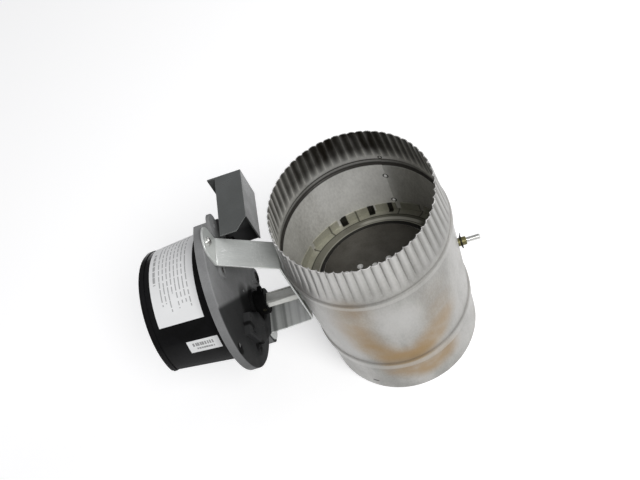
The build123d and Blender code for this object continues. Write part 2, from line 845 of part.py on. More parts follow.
with BuildPart() as motor_cover:
    with BuildSketch(across(cover_back, 0, cover_height)):
        with BuildLine():
            cover_outline(0)
        make_face()
    extrude(amount=cover_depth, taper=-cover_taper)
    fillet(faces().sort_by(Axis.X)[0].edges(), cover_end_round)
    with BuildSketch(across(cover_back + cover_rim_set_back, 0, cover_height)):
        with BuildLine():
            cover_outline(cover_rim_set_back * cover_slope + cover_rim_rise)
        make_face()
    extrude(amount=cover_rim_width)
    with BuildSketch(across(cover_back + cover_end_wall, 0, cover_height)):
        with BuildLine():
            cover_outline(cover_end_wall * cover_slope - cover_wall)
        make_face()
    extrude(amount=cover_depth, taper=-cover_taper, mode=Mode.SUBTRACT)
    with BuildSketch(across(base_back - cover_boss_length)):
        with Locations(*cover_screw_places):
            Circle(cover_boss_radius)
    extrude(amount=cover_boss_length)
    with BuildSketch(across(cover_back + cover_end_wall - 1)):
        with Locations(*board_post_places):
            Circle(board_post_radius)
    extrude(amount=board_back - cover_back - cover_end_wall + 1)
    with BuildSketch(across(base_back - cover_screw_grip - 1)):
        with Locations(*cover_screw_places):
            Circle(screw_hole_radius)
    extrude(amount=cover_screw_grip + 2, mode=Mode.SUBTRACT)
    with BuildSketch(across(board_back - board_screw_grip)):
        with Locations(*board_post_places):
            Circle(board_screw_radius + fixed_clearance)
    extrude(amount=board_screw_grip + 1, mode=Mode.SUBTRACT)
save(motor_cover, "motor_cover")

# Blank paper labels wrapped round the tapered cover
label_sets = (
    ("rating_label", rating_label_angles, rating_label_left, rating_label_right),
    ("serial_label", serial_label_angles, serial_label_left, serial_label_right),
)
for name, (start_angle, sweep_angle), left, right in label_sets:
    turn = radians(start_angle)
    face = Plane(origin=(0, 0, cover_height), x_dir=(1, 0, 0), z_dir=(0, -sin(turn), cos(turn)))
    left_radius = cover_end_radius + (left - cover_back) * cover_slope + label_gap
    right_radius = cover_end_radius + (right - cover_back) * cover_slope + label_gap
    with BuildPart() as label:
        with BuildSketch(face):
            with BuildLine():
                Polyline(
                    (left, left_radius),
                    (right, right_radius),
                    (right, right_radius + label_thickness),
                    (left, left_radius + label_thickness),
                    close=True,
                )
            make_face()
        revolve(axis=Axis((0, 0, cover_height), (1, 0, 0)), revolution_arc=sweep_angle)
    save(label, name)

# Output shaft, its bush, and the black drive hub that carries the blade's shaft
with BuildPart() as output_bush:
    with BuildSketch(across(base_back, 0, shaft_height)):
        Circle(output_bush_radius)
        Circle(output_radius + running_clearance, mode=Mode.SUBTRACT)
    extrude(amount=base_thickness + boss_rise)
save(output_bush, "output_bush")

with BuildPart() as output_shaft:
    with BuildSketch(across(output_back, 0, shaft_height)):
        Circle(output_radius)
    extrude(amount=socket_floor - output_back)
    chamfer(edges().filter_by(GeomType.CIRCLE), output_end_bevel)
save(output_shaft, "output_shaft")

hub_screw_x = socket_floor + hub_socket_depth / 2
screw_floor = shaft_width / 2 + fixed_clearance
with BuildPart() as drive_hub:
    with BuildSketch(across(hub_back, 0, shaft_height)):
        Circle(hub_radius)
    extrude(amount=hub_length)
    fillet(faces().sort_by(Axis.X)[-1].edges(), hub_edge_round)
    with BuildSketch(across(hub_front - hub_pointer_length - 1, 0, shaft_height)):
        with Locations((hub_pointer_place, hub_radius + hub_pointer_rise / 2 - 1)):
            Rectangle(hub_pointer_width, hub_pointer_rise + 2)
    extrude(amount=hub_pointer_length)
    with BuildSketch(across(socket_floor, 0, shaft_height)):
        RectangleRounded(shaft_width + 2 * fixed_clearance, shaft_depth + 2 * fixed_clearance, shaft_corner)
    extrude(amount=hub_socket_depth + 1, mode=Mode.SUBTRACT)
    with BuildSketch(across(hub_back - 1, 0, shaft_height)):
        Circle(output_radius + fixed_clearance)
    extrude(amount=socket_floor - hub_back + 1, mode=Mode.SUBTRACT)
    with BuildSketch(lengthways(0, shaft_height)):
        with Locations((hub_screw_x, 0)):
            Circle(screw_hole_radius)
    extrude(amount=hub_radius + 1, mode=Mode.SUBTRACT)
save_leaned(drive_hub, "drive_hub")

with BuildPart() as hub_screw:
    with BuildSketch(lengthways(-screw_floor, shaft_height)):
        with Locations((hub_screw_x, 0)):
            Circle(screw_shank)
    extrude(amount=hub_radius - screw_floor - hub_screw_recess)
    with BuildSketch(lengthways(-hub_radius + hub_screw_recess + hub_screw_socket_depth, shaft_height)):
        with Locations((hub_screw_x, 0)):
            RegularPolygon(hub_screw_socket, 6)
    extrude(amount=2 * hub_screw_socket_depth, mode=Mode.SUBTRACT)
save_leaned(hub_screw, "hub_screw")


def gear_teeth(teeth, phase_angle):
    """Outline of a gear with straight-sided teeth, one of them centred on the phase angle."""
    pitch = gear_module * teeth / 2
    root = pitch - gear_dedendum * gear_module
    tip = pitch + tooth_addendum * gear_module
    half_pitch = pi / teeth
    play = gear_backlash / pitch / 2
    root_half = half_pitch * tooth_root_share - play
    tip_half = half_pitch * tooth_tip_share - play
    points = []
    for tooth in range(teeth):
        middle = radians(phase_angle) + 2 * pi * tooth / teeth
        for radius, offset in ((root, -root_half), (tip, -tip_half), (tip, tip_half), (root, root_half)):
            points.append((radius * cos(middle + offset), radius * sin(middle + offset)))
    Polyline(*points, close=True)


# Each pinion has a gap on the line of centres where its wheel has a tooth
pinion_half_step = 180 / small_pinion_teeth

with BuildPart() as output_gear:
    with BuildSketch(across(layer_a_back, 0, shaft_height)):
        with BuildLine():
            gear_teeth(output_teeth, idler_angle)
        make_face()
        Circle(output_radius + fixed_clearance, mode=Mode.SUBTRACT)
        with PolarLocations(output_pitch * web_hole_circle_share, output_web_holes, 180 / output_web_holes):
            Circle(output_pitch * web_hole_radius_share, mode=Mode.SUBTRACT)
    extrude(amount=gear_width)
save(output_gear, "output_gear")

with BuildPart() as idler_gear:
    with BuildSketch(across(layer_a_back, idler_y, idler_z)):
        with BuildLine():
            gear_teeth(small_pinion_teeth, idler_angle + 180 + pinion_half_step)
        make_face()
    extrude(amount=gear_width + gear_layer_gap)
    with BuildSketch(across(layer_b_back, idler_y, idler_z)):
        with BuildLine():
            gear_teeth(idler_wheel_teeth, motor_angle)
        make_face()
        with PolarLocations(wheel_pitch * web_hole_circle_share, idler_web_holes, 90 / idler_web_holes):
            Circle(wheel_pitch * web_hole_radius_share, mode=Mode.SUBTRACT)
    extrude(amount=gear_width)
    with BuildSketch(across(layer_a_back - 1, idler_y, idler_z)):
        Circle(arbor_radius + running_clearance)
    extrude(amount=2 * gear_width + gear_layer_gap + 2, mode=Mode.SUBTRACT)
save(idler_gear, "idler_gear")

with BuildPart() as idler_arbor:
    with BuildSketch(across(plate_back, idler_y, idler_z)):
        Circle(arbor_radius)
    extrude(amount=base_front - 1 - plate_back)
save(idler_arbor, "idler_arbor")

with BuildPart() as motor_pinion:
    with BuildSketch(across(layer_b_back, motor_y, motor_z)):
        with BuildLine():
            gear_teeth(small_pinion_teeth, motor_angle + 180 + pinion_half_step)
        make_face()
        Circle(motor_shaft_radius + fixed_clearance, mode=Mode.SUBTRACT)
    extrude(amount=gear_width)
save(motor_pinion, "motor_pinion")

with BuildPart() as motor_shaft:
    with BuildSketch(across(plate_back - motor_bore_depth, motor_y, motor_z)):
        Circle(motor_shaft_radius)
    extrude(amount=layer_b_front - plate_back + motor_bore_depth)
save(motor_shaft, "motor_shaft")

# Gear plate, its posts and their screws
motor_screw_places = ((motor_y, motor_z + motor_screw_circle), (motor_y - motor_screw_circle, motor_z))
switch_screw_places = []
switch_layout = []
for name, side, cam_reach in (("open", 1, cam_low_radius), ("closed", -1, cam_low_radius + cam_rise)):
    face = side * (cam_reach + cam_gap)
    pivot_y = face + side * lever_sheet / 2
    body_near = face + side * switch_set_back
    switch_layout.append((name, pivot_y, body_near, body_near + side * switch_depth / 2))
lever_pivot_height = shaft_height + lever_arm
body_middle_height = lever_pivot_height + lever_barrel_radius + lever_head_room - switch_length / 2
for name, pivot_y, body_near, body_middle in switch_layout:
    switch_screw_places.append((body_middle, body_middle_height - switch_length / 4))
    switch_screw_places.append((body_middle, body_middle_height + switch_length / 4))

with BuildPart() as gear_plate:
    with BuildSketch(across(plate_back)):
        with Locations((0, plate_height)):
            Circle(plate_radius)
        with Locations((0, shaft_height)):
            Circle(output_radius + running_clearance, mode=Mode.SUBTRACT)
        with Locations((idler_y, idler_z)):
            Circle(arbor_radius + fixed_clearance, mode=Mode.SUBTRACT)
        with Locations((motor_y, motor_z)):
            Circle(motor_shaft_radius + 1, mode=Mode.SUBTRACT)
        with Locations(*post_places):
            Circle(screw_hole_radius, mode=Mode.SUBTRACT)
        with Locations(*motor_screw_places, *switch_screw_places):
            Circle(board_screw_radius + fixed_clearance, mode=Mode.SUBTRACT)
    extrude(amount=plate_thickness)
save(gear_plate, "gear_plate")

with BuildPart() as plate_posts:
    with BuildSketch(across(plate_front)):
        with Locations(*post_places):
            Circle(plate_post_radius)
            Circle(screw_hole_radius, mode=Mode.SUBTRACT)
    extrude(amount=base_back - plate_front)
save(plate_posts, "plate_posts")

with BuildPart() as plate_screws:
    with BuildSketch(across(plate_back)):
        with Locations(*post_places):
            Circle(screw_head_radius)
    extrude(amount=-screw_head_height)
    with BuildSketch(across(plate_back)):
        with Locations(*post_places):
            Circle(screw_shank)
    extrude(amount=base_front - 2 - plate_back)
save(plate_screws, "plate_screws")

# Motor on the back of the plate, held from the front by two flat-headed screws
with BuildPart() as gear_motor:
    with BuildSketch(across(plate_back - motor_length, motor_y, motor_z)):
        Circle(motor_radius)
    extrude(amount=motor_length)
    fillet(faces().sort_by(Axis.X)[0].edges(), motor_end_round)
    with BuildSketch(across(plate_back - motor_length, motor_y, motor_z)):
        Circle(motor_radius * motor_nose_share)
    extrude(amount=-motor_nose_length)
    with BuildSketch(across(plate_back - motor_length * motor_band_place, motor_y, motor_z)):
        Circle(motor_radius + motor_band_depth)
        Circle(motor_radius - motor_band_depth, mode=Mode.SUBTRACT)
    extrude(amount=motor_band_width)
    with BuildSketch(across(plate_back - motor_bore_depth - 0.5, motor_y, motor_z)):
        Circle(motor_shaft_radius + running_clearance)
    extrude(amount=motor_bore_depth + 1, mode=Mode.SUBTRACT)
    with BuildSketch(across(plate_back - motor_screw_grip - 0.5)):
        with Locations(*motor_screw_places):
            Circle(board_screw_radius + fixed_clearance)
    extrude(amount=motor_screw_grip + 1, mode=Mode.SUBTRACT)
save(gear_motor, "gear_motor")

switch_back = plate_back - switch_thickness
small_screw_sets = (
    ("motor_screws", plate_front, 1, plate_thickness + motor_screw_grip, motor_screw_places),
    ("switch_screws", switch_back, -1, switch_thickness + plate_thickness, switch_screw_places),
    ("board_screws", board_front, 1, board_thickness + board_screw_grip - 1, board_post_places),
)
for name, seat, way, grip, places in small_screw_sets:
    with BuildPart() as small_screws:
        with BuildSketch(across(seat)):
            with Locations(*places):
                Circle(board_screw_head_radius)
        extrude(amount=way * board_screw_head_height)
        with BuildSketch(across(seat)):
            with Locations(*places):
                Circle(board_screw_radius)
        extrude(amount=-way * grip)
    save(small_screws, name)

# Switch cam: its radius changes steadily over the two quarters that the levers ride
cam_slope = cam_rise / (pi / 2)
cam_front = plate_back - cam_plate_gap


def cam_radius_at(angle):
    margin = cam_margin_angle
    turned = (angle + 90 + margin) % 360 - 90 - margin
    if turned <= margin:
        return cam_low_radius - cam_slope * radians(turned)
    if turned <= 90 - margin:
        return cam_low_radius - cam_slope * radians(margin)
    if turned <= 180 + margin:
        return cam_low_radius + cam_slope * radians(turned - 90)
    return cam_low_radius + cam_slope * radians(90 + margin)


with BuildPart() as switch_cam:
    with BuildSketch(across(cam_front - cam_width, 0, shaft_height)):
        cam_points = []
        for angle in range(0, 360, 5):
            a = radians(angle)
            cam_points.append((cam_radius_at(angle) * cos(a), cam_radius_at(angle) * sin(a)))
        with BuildLine():
            Polyline(*cam_points, close=True)
        make_face()
        Circle(output_radius + fixed_clearance, mode=Mode.SUBTRACT)
    extrude(amount=cam_width)
save(switch_cam, "switch_cam")

# End switches on both sides of the cam, each with a hinged lever
lever_back = plate_back - (switch_thickness + lever_width) / 2
for name, pivot_y, body_near, body_middle in switch_layout:
    with BuildPart() as end_switch:
        with BuildSketch(across(switch_back)):
            with Locations((body_middle, body_middle_height)):
                Rectangle(switch_depth, switch_length)
        extrude(amount=switch_thickness)
        for ear_start in (switch_back, plate_back - switch_ear_thickness):
            with BuildSketch(across(ear_start)):
                with Locations(((pivot_y + body_near) / 2, lever_pivot_height)):
                    Rectangle(abs(body_near - pivot_y) + 2 * lever_barrel_radius, 2 * lever_barrel_radius)
                with Locations((pivot_y, lever_pivot_height)):
                    Circle(lever_pin_radius + fixed_clearance, mode=Mode.SUBTRACT)
            extrude(amount=switch_ear_thickness)
        with BuildSketch(across(switch_back - 1)):
            with Locations(*switch_screw_places):
                Circle(board_screw_radius + fixed_clearance)
        extrude(amount=switch_thickness + 2, mode=Mode.SUBTRACT)
    save(end_switch, f"{name}_switch")
    with BuildPart() as switch_lever:
        with BuildSketch(across(lever_back)):
            with Locations((pivot_y, lever_pivot_height - (lever_arm + lever_tip) / 2)):
                Rectangle(lever_sheet, lever_arm + lever_tip)
            with Locations((pivot_y, lever_pivot_height)):
                Circle(lever_barrel_radius)
                Circle(lever_pin_radius + running_clearance, mode=Mode.SUBTRACT)
        extrude(amount=lever_width)
    save(switch_lever, f"{name}_switch_lever")

with BuildPart() as lever_pins:
    with BuildSketch(across(switch_back)):
        for name, pivot_y, body_near, body_middle in switch_layout:
            with Locations((pivot_y, lever_pivot_height)):
                Circle(lever_pin_radius)
    extrude(amount=switch_thickness)
save(lever_pins, "lever_pins")

# Circuit board with a relay, two capacitors and a terminal block
with BuildPart() as circuit_board:
    with BuildSketch(across(board_back)):
        with Locations((0, cover_height)):
            RectangleRounded(board_width, board_height, board_corner)
        with Locations(*board_post_places):
            Circle(board_screw_radius + fixed_clearance, mode=Mode.SUBTRACT)
    extrude(amount=board_thickness)
save(circuit_board, "circuit_board")

with BuildPart() as board_relay:
    with BuildSketch(across(board_front)):
        with Locations(*over_shaft((relay_place,))):
            RectangleRounded(relay_size[1], relay_size[2], relay_corner)
    extrude(amount=relay_size[0])
    chamfer(faces().sort_by(Axis.X)[-1].edges(), relay_bevel)
save(board_relay, "board_relay")

with BuildPart() as board_capacitors:
    with BuildSketch(across(board_front)):
        with Locations(*over_shaft(capacitor_places)):
            Circle(capacitor_radius)
    extrude(amount=capacitor_length)
    fillet(faces().filter_by(Plane.YZ).group_by(Axis.X)[-1].edges(), capacitor_round)
save(board_capacitors, "board_capacitors")

with BuildPart() as terminal_block:
    with BuildSketch(across(board_front)):
        with Locations(*over_shaft((terminal_place,))):
            Rectangle(terminal_count * terminal_pitch, terminal_height)
    extrude(amount=terminal_rise)
    with BuildSketch(across(board_front + terminal_rise - terminal_well_depth)):
        with Locations(*over_shaft((terminal_place,))):
            with GridLocations(terminal_pitch, 1, terminal_count, 1):
                Circle(terminal_well_radius)
    extrude(amount=terminal_well_depth + 1, mode=Mode.SUBTRACT)
save(terminal_block, "terminal_block")

# Harness guard: a folded sheet box over the wire socket, open at its near end
guard_middle = ((base_front + guard_right) / 2, (guard_bottom + guard_top) / 2)
guard_width = guard_right - base_front
guard_tall = guard_top - guard_bottom
flange_far = base_far_edge - pad_margin
with BuildPart() as harness_guard:
    with BuildSketch(lengthways(guard_far)):
        with Locations(guard_middle):
            Rectangle(guard_width, guard_tall)
    extrude(amount=guard_sheet)
    with BuildSketch(Plane.XY.offset(guard_top - guard_sheet)):
        with BuildLine():
            Polyline(
                (guard_top_left, guard_far),
                (guard_right, guard_far),
                (guard_right, guard_near),
                (guard_right - guard_cut_length, guard_top_near),
                (guard_top_left, guard_top_near),
                close=True,
            )
        make_face()
    extrude(amount=guard_sheet)
    with BuildSketch(across(guard_right - guard_sheet)):
        with Locations(((guard_near + guard_far) / 2, guard_middle[1])):
            Rectangle(guard_far - guard_near, guard_tall)
    extrude(amount=guard_sheet)
    with BuildSketch(Plane.XY.offset(guard_bottom)):
        with Locations((guard_middle[0], (guard_bottom_near + guard_far) / 2)):
            Rectangle(guard_width, guard_far - guard_bottom_near)
    extrude(amount=guard_sheet)
    with BuildSketch(across(base_front)):
        with Locations(((guard_bottom_near + flange_far) / 2, (guard_flange_low + guard_bottom) / 2)):
            Rectangle(flange_far - guard_bottom_near, guard_bottom - guard_flange_low)
        with Locations(*guard_screws_at):
            Circle(screw_hole_radius, mode=Mode.SUBTRACT)
    extrude(amount=guard_sheet)
save(harness_guard, "harness_guard")

with BuildPart() as harness_socket:
    with BuildSketch(across(base_front)):
        with Locations(*over_shaft((socket_place,))):
            RectangleRounded(socket_size[1], socket_size[2], socket_corner)
    extrude(amount=socket_size[0])
    with BuildSketch(across(base_front + socket_floor_thickness)):
        with Locations(*over_shaft((socket_place,))):
            Rectangle(socket_size[1] - 2 * socket_wall, socket_size[2] - 2 * socket_wall)
    extrude(amount=socket_size[0], mode=Mode.SUBTRACT)
    with BuildSketch(across(base_front + socket_floor_thickness - 1)):
        with Locations(*over_shaft((socket_place,))):
            with GridLocations(pin_pitch, pin_pitch, 2, 2):
                Rectangle(pin_width, pin_width)
    extrude(amount=pin_length + 1)
save(harness_socket, "harness_socket")
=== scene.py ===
import math
import random

import bmesh
import bpy
import numpy as np
from mathutils import Matrix, Vector, noise


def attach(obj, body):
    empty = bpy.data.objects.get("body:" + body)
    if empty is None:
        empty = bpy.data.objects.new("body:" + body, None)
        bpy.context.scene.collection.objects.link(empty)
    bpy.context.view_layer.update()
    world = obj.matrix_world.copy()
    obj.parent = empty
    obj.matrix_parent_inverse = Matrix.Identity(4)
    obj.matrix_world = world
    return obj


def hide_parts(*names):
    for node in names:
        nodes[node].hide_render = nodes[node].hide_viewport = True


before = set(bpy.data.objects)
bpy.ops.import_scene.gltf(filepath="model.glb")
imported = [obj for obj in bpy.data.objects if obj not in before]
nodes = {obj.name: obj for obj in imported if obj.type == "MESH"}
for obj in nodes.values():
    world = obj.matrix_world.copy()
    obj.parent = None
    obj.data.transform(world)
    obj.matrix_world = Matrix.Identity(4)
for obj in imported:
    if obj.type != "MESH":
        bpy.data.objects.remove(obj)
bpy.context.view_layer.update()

# Lengths are in metres in the frame of the CAD model, and angles in degrees.
# A fade is (start, end, share at the start, share at the end) along a length or an angle.
# Where the shares are left out, they are 0 and 1.
origin = (0.0, 0.0, 0.0)
bandCore = 0.7  # the part of a band's half width that has its full strength
strokeCore = 0.1  # the same for a stroke


def addNode(tree, kind, values=None, **settings):
    made = tree.nodes.new(kind)
    for name, value in settings.items():
        setattr(made, name, value)
    for key, value in (values or {}).items():
        socket = made.inputs[key]
        if isinstance(value, bpy.types.NodeSocket):
            tree.links.new(value, socket)
        else:
            socket.default_value = value
    return made


def addObject(name, data):
    made = bpy.data.objects.new(name, data)
    bpy.context.scene.collection.objects.link(made)
    return made


def newGroup(name, inputs, outputs):
    tree = bpy.data.node_groups.new(name, "ShaderNodeTree")
    for title, value in inputs.items():
        kind = "NodeSocketVector" if isinstance(value, tuple) else "NodeSocketFloat"
        tree.interface.new_socket(title, in_out="INPUT", socket_type=kind).default_value = value
    for title in outputs:
        tree.interface.new_socket(title, in_out="OUTPUT", socket_type="NodeSocketFloat")
    return tree, tree.nodes.new("NodeGroupInput").outputs, tree.nodes.new("NodeGroupOutput").inputs


def useGroup(tree, group, values):
    return addNode(tree, "ShaderNodeGroup", values, node_tree=group).outputs


def calc(tree, operation, a, b=0.0, clamp=False):
    return addNode(tree, "ShaderNodeMath", {0: a, 1: b}, operation=operation, use_clamp=clamp).outputs[0]


def times(tree, product, *factors):
    for factor in factors:
        product = calc(tree, "MULTIPLY", product, factor)
    return product


def largest(tree, masks):
    total = masks[0]
    for mask in masks[1:]:
        total = calc(tree, "MAXIMUM", total, mask)
    return total


def vectorMath(tree, operation, a, b=None, output=0):
    values = {0: a} if b is None else {0: a, 1: b}
    return addNode(tree, "ShaderNodeVectorMath", values, operation=operation).outputs[output]


def split(tree, place):
    return addNode(tree, "ShaderNodeSeparateXYZ", {0: place}).outputs


def combine(tree, x=0.0, y=0.0, z=0.0):
    return addNode(tree, "ShaderNodeCombineXYZ", {0: x, 1: y, 2: z}).outputs[0]


def noiseAt(tree, place, scale, detail, roughness=0.5):
    values = {"Vector": place, "Scale": scale, "Detail": detail, "Roughness": roughness}
    return addNode(tree, "ShaderNodeTexNoise", values).outputs["Fac"]


def attribute(tree, name):
    return addNode(tree, "ShaderNodeAttribute", attribute_name=name).outputs["Fac"]


def mixColor(tree, factor, a, b):
    return addNode(tree, "ShaderNodeMix", {0: factor, 6: a, 7: b}, data_type="RGBA").outputs[2]


# A colour laid over another where all the masks are, as strong as their product
def tint(tree, color, tone, *masks):
    return mixColor(tree, times(tree, *masks), color, tone)


def ramp(tree, value, start, end, atStart=0.0, atEnd=1.0):
    values = {"Value": value, "From Min": start, "From Max": end, "To Min": atStart, "To Max": atEnd}
    return addNode(tree, "ShaderNodeMapRange", values, interpolation_type="SMOOTHSTEP").outputs[0]


def band(tree, value, middle, half):
    away = calc(tree, "ABSOLUTE", calc(tree, "SUBTRACT", value, middle))
    return ramp(tree, away, half * bandCore, half, 1.0, 0.0)


def turnRamp(tree, angle, start, end, atStart=0.0, atEnd=1.0):
    return ramp(tree, angle, math.radians(start), math.radians(end), atStart, atEnd)


def turnBand(tree, angle, middle, half):
    return band(tree, angle, math.radians(middle), math.radians(half))


# A soft-edged ellipsoid: 1 inside, 0 outside
spotGroup, into, out = newGroup(
    "softSpot", {"Position": origin, "Center": origin, "Radii": (0.01, 0.01, 0.01), "Edge": 0.5}, ("Mask",))
away = vectorMath(spotGroup, "SUBTRACT", into["Position"], into["Center"])
away = vectorMath(spotGroup, "LENGTH", vectorMath(spotGroup, "DIVIDE", away, into["Radii"]), output="Value")
start = calc(spotGroup, "SUBTRACT", 1.0, into["Edge"])
spotGroup.links.new(ramp(spotGroup, away, start, 1.0, 1.0, 0.0), out["Mask"])

# A soft-edged band along the straight line between two points
strokeGroup, into, out = newGroup(
    "softStroke", {"Position": origin, "Start": origin, "End": origin, "Width": 0.01}, ("Mask",))
fromStart = vectorMath(strokeGroup, "SUBTRACT", into["Position"], into["Start"])
whole = vectorMath(strokeGroup, "SUBTRACT", into["End"], into["Start"])
share = calc(strokeGroup, "DIVIDE", vectorMath(strokeGroup, "DOT_PRODUCT", fromStart, whole, "Value"),
             vectorMath(strokeGroup, "DOT_PRODUCT", whole, whole, "Value"), clamp=True)
along = addNode(strokeGroup, "ShaderNodeVectorMath", {0: whole, "Scale": share}, operation="SCALE").outputs[0]
away = vectorMath(strokeGroup, "SUBTRACT", fromStart, along)
away = calc(strokeGroup, "DIVIDE", vectorMath(strokeGroup, "LENGTH", away, output="Value"), into["Width"])
strokeGroup.links.new(ramp(strokeGroup, away, strokeCore, 1.0, 1.0, 0.0), out["Mask"])

# Cloudy variation with a fine grain over it
mottling = {
    "cloudDetail": 5.0,
    "cloudRoughness": 0.6,
    "cloudFade": (0.32, 0.68),
    "grainDetail": 2.0,
    "grainFade": (0.3, 0.7),
}
cloudGroup, into, out = newGroup("cloudAndGrain", {
    "Position": origin, "Stretch": (1.0, 1.0, 1.0),
    "Cloud scale": 30.0, "Grain scale": 900.0, "Grain share": 0.3,
}, ("Blend", "Grain"))
stretched = vectorMath(cloudGroup, "MULTIPLY", into["Position"], into["Stretch"])
clouds = noiseAt(cloudGroup, stretched, into["Cloud scale"],
                 mottling["cloudDetail"], mottling["cloudRoughness"])
grain = noiseAt(cloudGroup, stretched, into["Grain scale"], mottling["grainDetail"])
clouds = ramp(cloudGroup, clouds, *mottling["cloudFade"])
grain = ramp(cloudGroup, grain, *mottling["grainFade"])
values = {0: into["Grain share"], 2: clouds, 3: grain}
blend = addNode(cloudGroup, "ShaderNodeMix", values, data_type="FLOAT").outputs[0]
cloudGroup.links.new(blend, out["Blend"])
cloudGroup.links.new(grain, out["Grain"])

# Thin scratches: the crests of a stretched noise, broken up by a slower one
scratching = {
    "detail": 3.0,
    "crestWidth": 0.012,
    "patchScale": 45.0,
    "patchDetail": 2.0,
    "patchFade": (0.5, 0.62),
}
scratchGroup, into, out = newGroup(
    "scratches", {"Position": origin, "Stretch": (1.0, 1.0, 6.0), "Scale": 110.0, "Amount": 0.5}, ("Mask",))
lines = vectorMath(scratchGroup, "MULTIPLY", into["Position"], into["Stretch"])
lines = noiseAt(scratchGroup, lines, into["Scale"], scratching["detail"])
crest = calc(scratchGroup, "ABSOLUTE", calc(scratchGroup, "SUBTRACT", lines, 0.5))
crest = ramp(scratchGroup, crest, 0.0, scratching["crestWidth"], 1.0, 0.0)
patches = noiseAt(scratchGroup, into["Position"], scratching["patchScale"], scratching["patchDetail"])
patches = ramp(scratchGroup, patches, *scratching["patchFade"])
scratchGroup.links.new(times(scratchGroup, crest, patches, into["Amount"]), out["Mask"])

# What a look has where it gives nothing of its own
plainLook = {
    "paint": None,
    "grainScale": 900.0,
    "grainShare": 0.3,
    "stretch": (1.0, 1.0, 1.0),
    "metallic": 0.0,
    "specular": 0.5,
    "bump": 0.3,
    "bumpHeight": 0.00006,
    "scratch": 0.0,
    "scratchScale": 110.0,
    # Lighter edges: partly edge wear, partly a painted highlight
    "edge": 0.0,
    "edgeWidth": 0.0007,
    "edgeSamples": 4,
    "edgeFade": (0.80, 0.985),
}


# A surface from its look: two colours and their mottling, roughness, grain, scratches, and lighter edges that
# are partly edge wear and partly painted highlight
def surface(name, ownLook):
    look = {**plainLook, **ownLook}
    material = bpy.data.materials.new(name)
    material.use_nodes = True
    tree = material.node_tree
    tree.nodes.clear()
    shader = tree.nodes.new("ShaderNodeBsdfPrincipled")
    tree.links.new(shader.outputs[0], tree.nodes.new("ShaderNodeOutputMaterial").inputs[0])
    place = addNode(tree, "ShaderNodeTexCoord").outputs["Object"]
    cloud, grain = useGroup(tree, cloudGroup, {
        "Position": place, "Stretch": look["stretch"], "Cloud scale": look["cloudScale"],
        "Grain scale": look["grainScale"], "Grain share": look["grainShare"],
    })
    color = mixColor(tree, cloud, look["dark"], look["light"])
    if look["scratch"]:
        scratch = useGroup(tree, scratchGroup, {
            "Position": place, "Scale": look["scratchScale"], "Amount": look["scratch"],
        })
        color = mixColor(tree, scratch[0], color, look["scratchColor"])
    # Lighter edges from the bevel: partly edge wear, partly a painted highlight along the edges
    if look["edge"]:
        soft = addNode(tree, "ShaderNodeBevel", {"Radius": look["edgeWidth"]}, samples=look["edgeSamples"])
        flat = addNode(tree, "ShaderNodeNewGeometry").outputs["Normal"]
        alike = vectorMath(tree, "DOT_PRODUCT", soft.outputs[0], flat, "Value")
        edgeWearAndHighlight = ramp(tree, alike, *look["edgeFade"], look["edge"], 0.0)
        color = mixColor(tree, edgeWearAndHighlight, color, look["edgeColor"])
    if look["paint"]:
        color = look["paint"](tree, place, color)
    tree.links.new(color, shader.inputs["Base Color"])
    shader.inputs["Metallic"].default_value = look["metallic"]
    smooth, rough = look["rough"]
    tree.links.new(ramp(tree, cloud, 0.0, 1.0, rough, smooth), shader.inputs["Roughness"])
    shader.inputs["Specular IOR Level"].default_value = look["specular"]
    bump = addNode(tree, "ShaderNodeBump",
                   {"Height": grain, "Distance": look["bumpHeight"], "Strength": look["bump"]})
    tree.links.new(bump.outputs[0], shader.inputs["Normal"])
    return material


def spot(tree, place, center, radii, edge):
    return useGroup(tree, spotGroup, {"Position": place, "Center": center, "Radii": radii, "Edge": edge})[0]


# The largest of several soft spots, each as (centre, radii, edge, strength)
def spots(tree, place, items):
    return largest(tree, [times(tree, spot(tree, place, center, radii, edge), strength)
                          for center, radii, edge, strength in items])


# Soft bands through the points of a path, as strong as the mean of each band's two ends
def strokes(tree, place, path, width):
    masks = []
    for (start, startStrength), (end, endStrength) in zip(path, path[1:]):
        values = {"Position": place, "Start": start, "End": end, "Width": width}
        masks.append(times(tree, useGroup(tree, strokeGroup, values)[0], (startStrength + endStrength) / 2))
    return largest(tree, masks)


pipe = {
    "radius": 0.0762,
    "sheet": 0.0008,
    "length": 0.222,
    "crimpFoot": 0.181,
    "crimps": 60,
    "stepsPerCrimp": 10,
    "crestAtMouth": 0.0716,
    "depthAtMouth": 0.0015,
    "crimpPower": 0.55,
    "crimpGrowth": 0.45,
    "crimpSpread": 0.30,
    "crimpFootSpread": 0.003,
    "beads": ((0.054, 0.0065), (0.1735, 0.0045)),  # each bead's middle and half its width
    "beadRise": 0.0016,
    "beadShoulder": 0.0018,
    "beadCrown": 0.25,
    "dent": 0.00016,
    "dentScale": (2.2, 22.0),  # round the pipe and along it
    "lapStart": 55.0,
    "lapEnd": 77.0,
    "lapLow": 0.0615,
    "lapHigh": 0.168,
    "insideStep": 0.00045,
    "insideLapStart": 50.0,
    "insideLapEnd": 66.0,
    "shaftHeight": 0.111,
    "shaftHoles": ((-1, 0.00938), (1, 0.00402)),  # the side in x and the hole's radius
    "holeReach": 0.05,  # a hole takes nothing nearer to the axis than this in x
    "sharpAngle": 38,
    "seed": 7,
    # Heights of the mesh's rows
    "plainRows": (0.0, 0.0012, 0.012, 0.026, 0.040, 0.0465, 0.0610, 0.0616, 0.072, 0.084, 0.094, 0.128, 0.140,
                  0.153, 0.1675, 0.1682),
    "beadRows": (0.0012, 0.0005, 0.0, -0.0005, -0.0011, -0.0018),  # past a bead's half width
    "holeRows": (0.1000, 0.0011, 21),  # the lowest, the step and how many
    "crimpRows": 15,
    "crimpRowPower": 1.1,
}
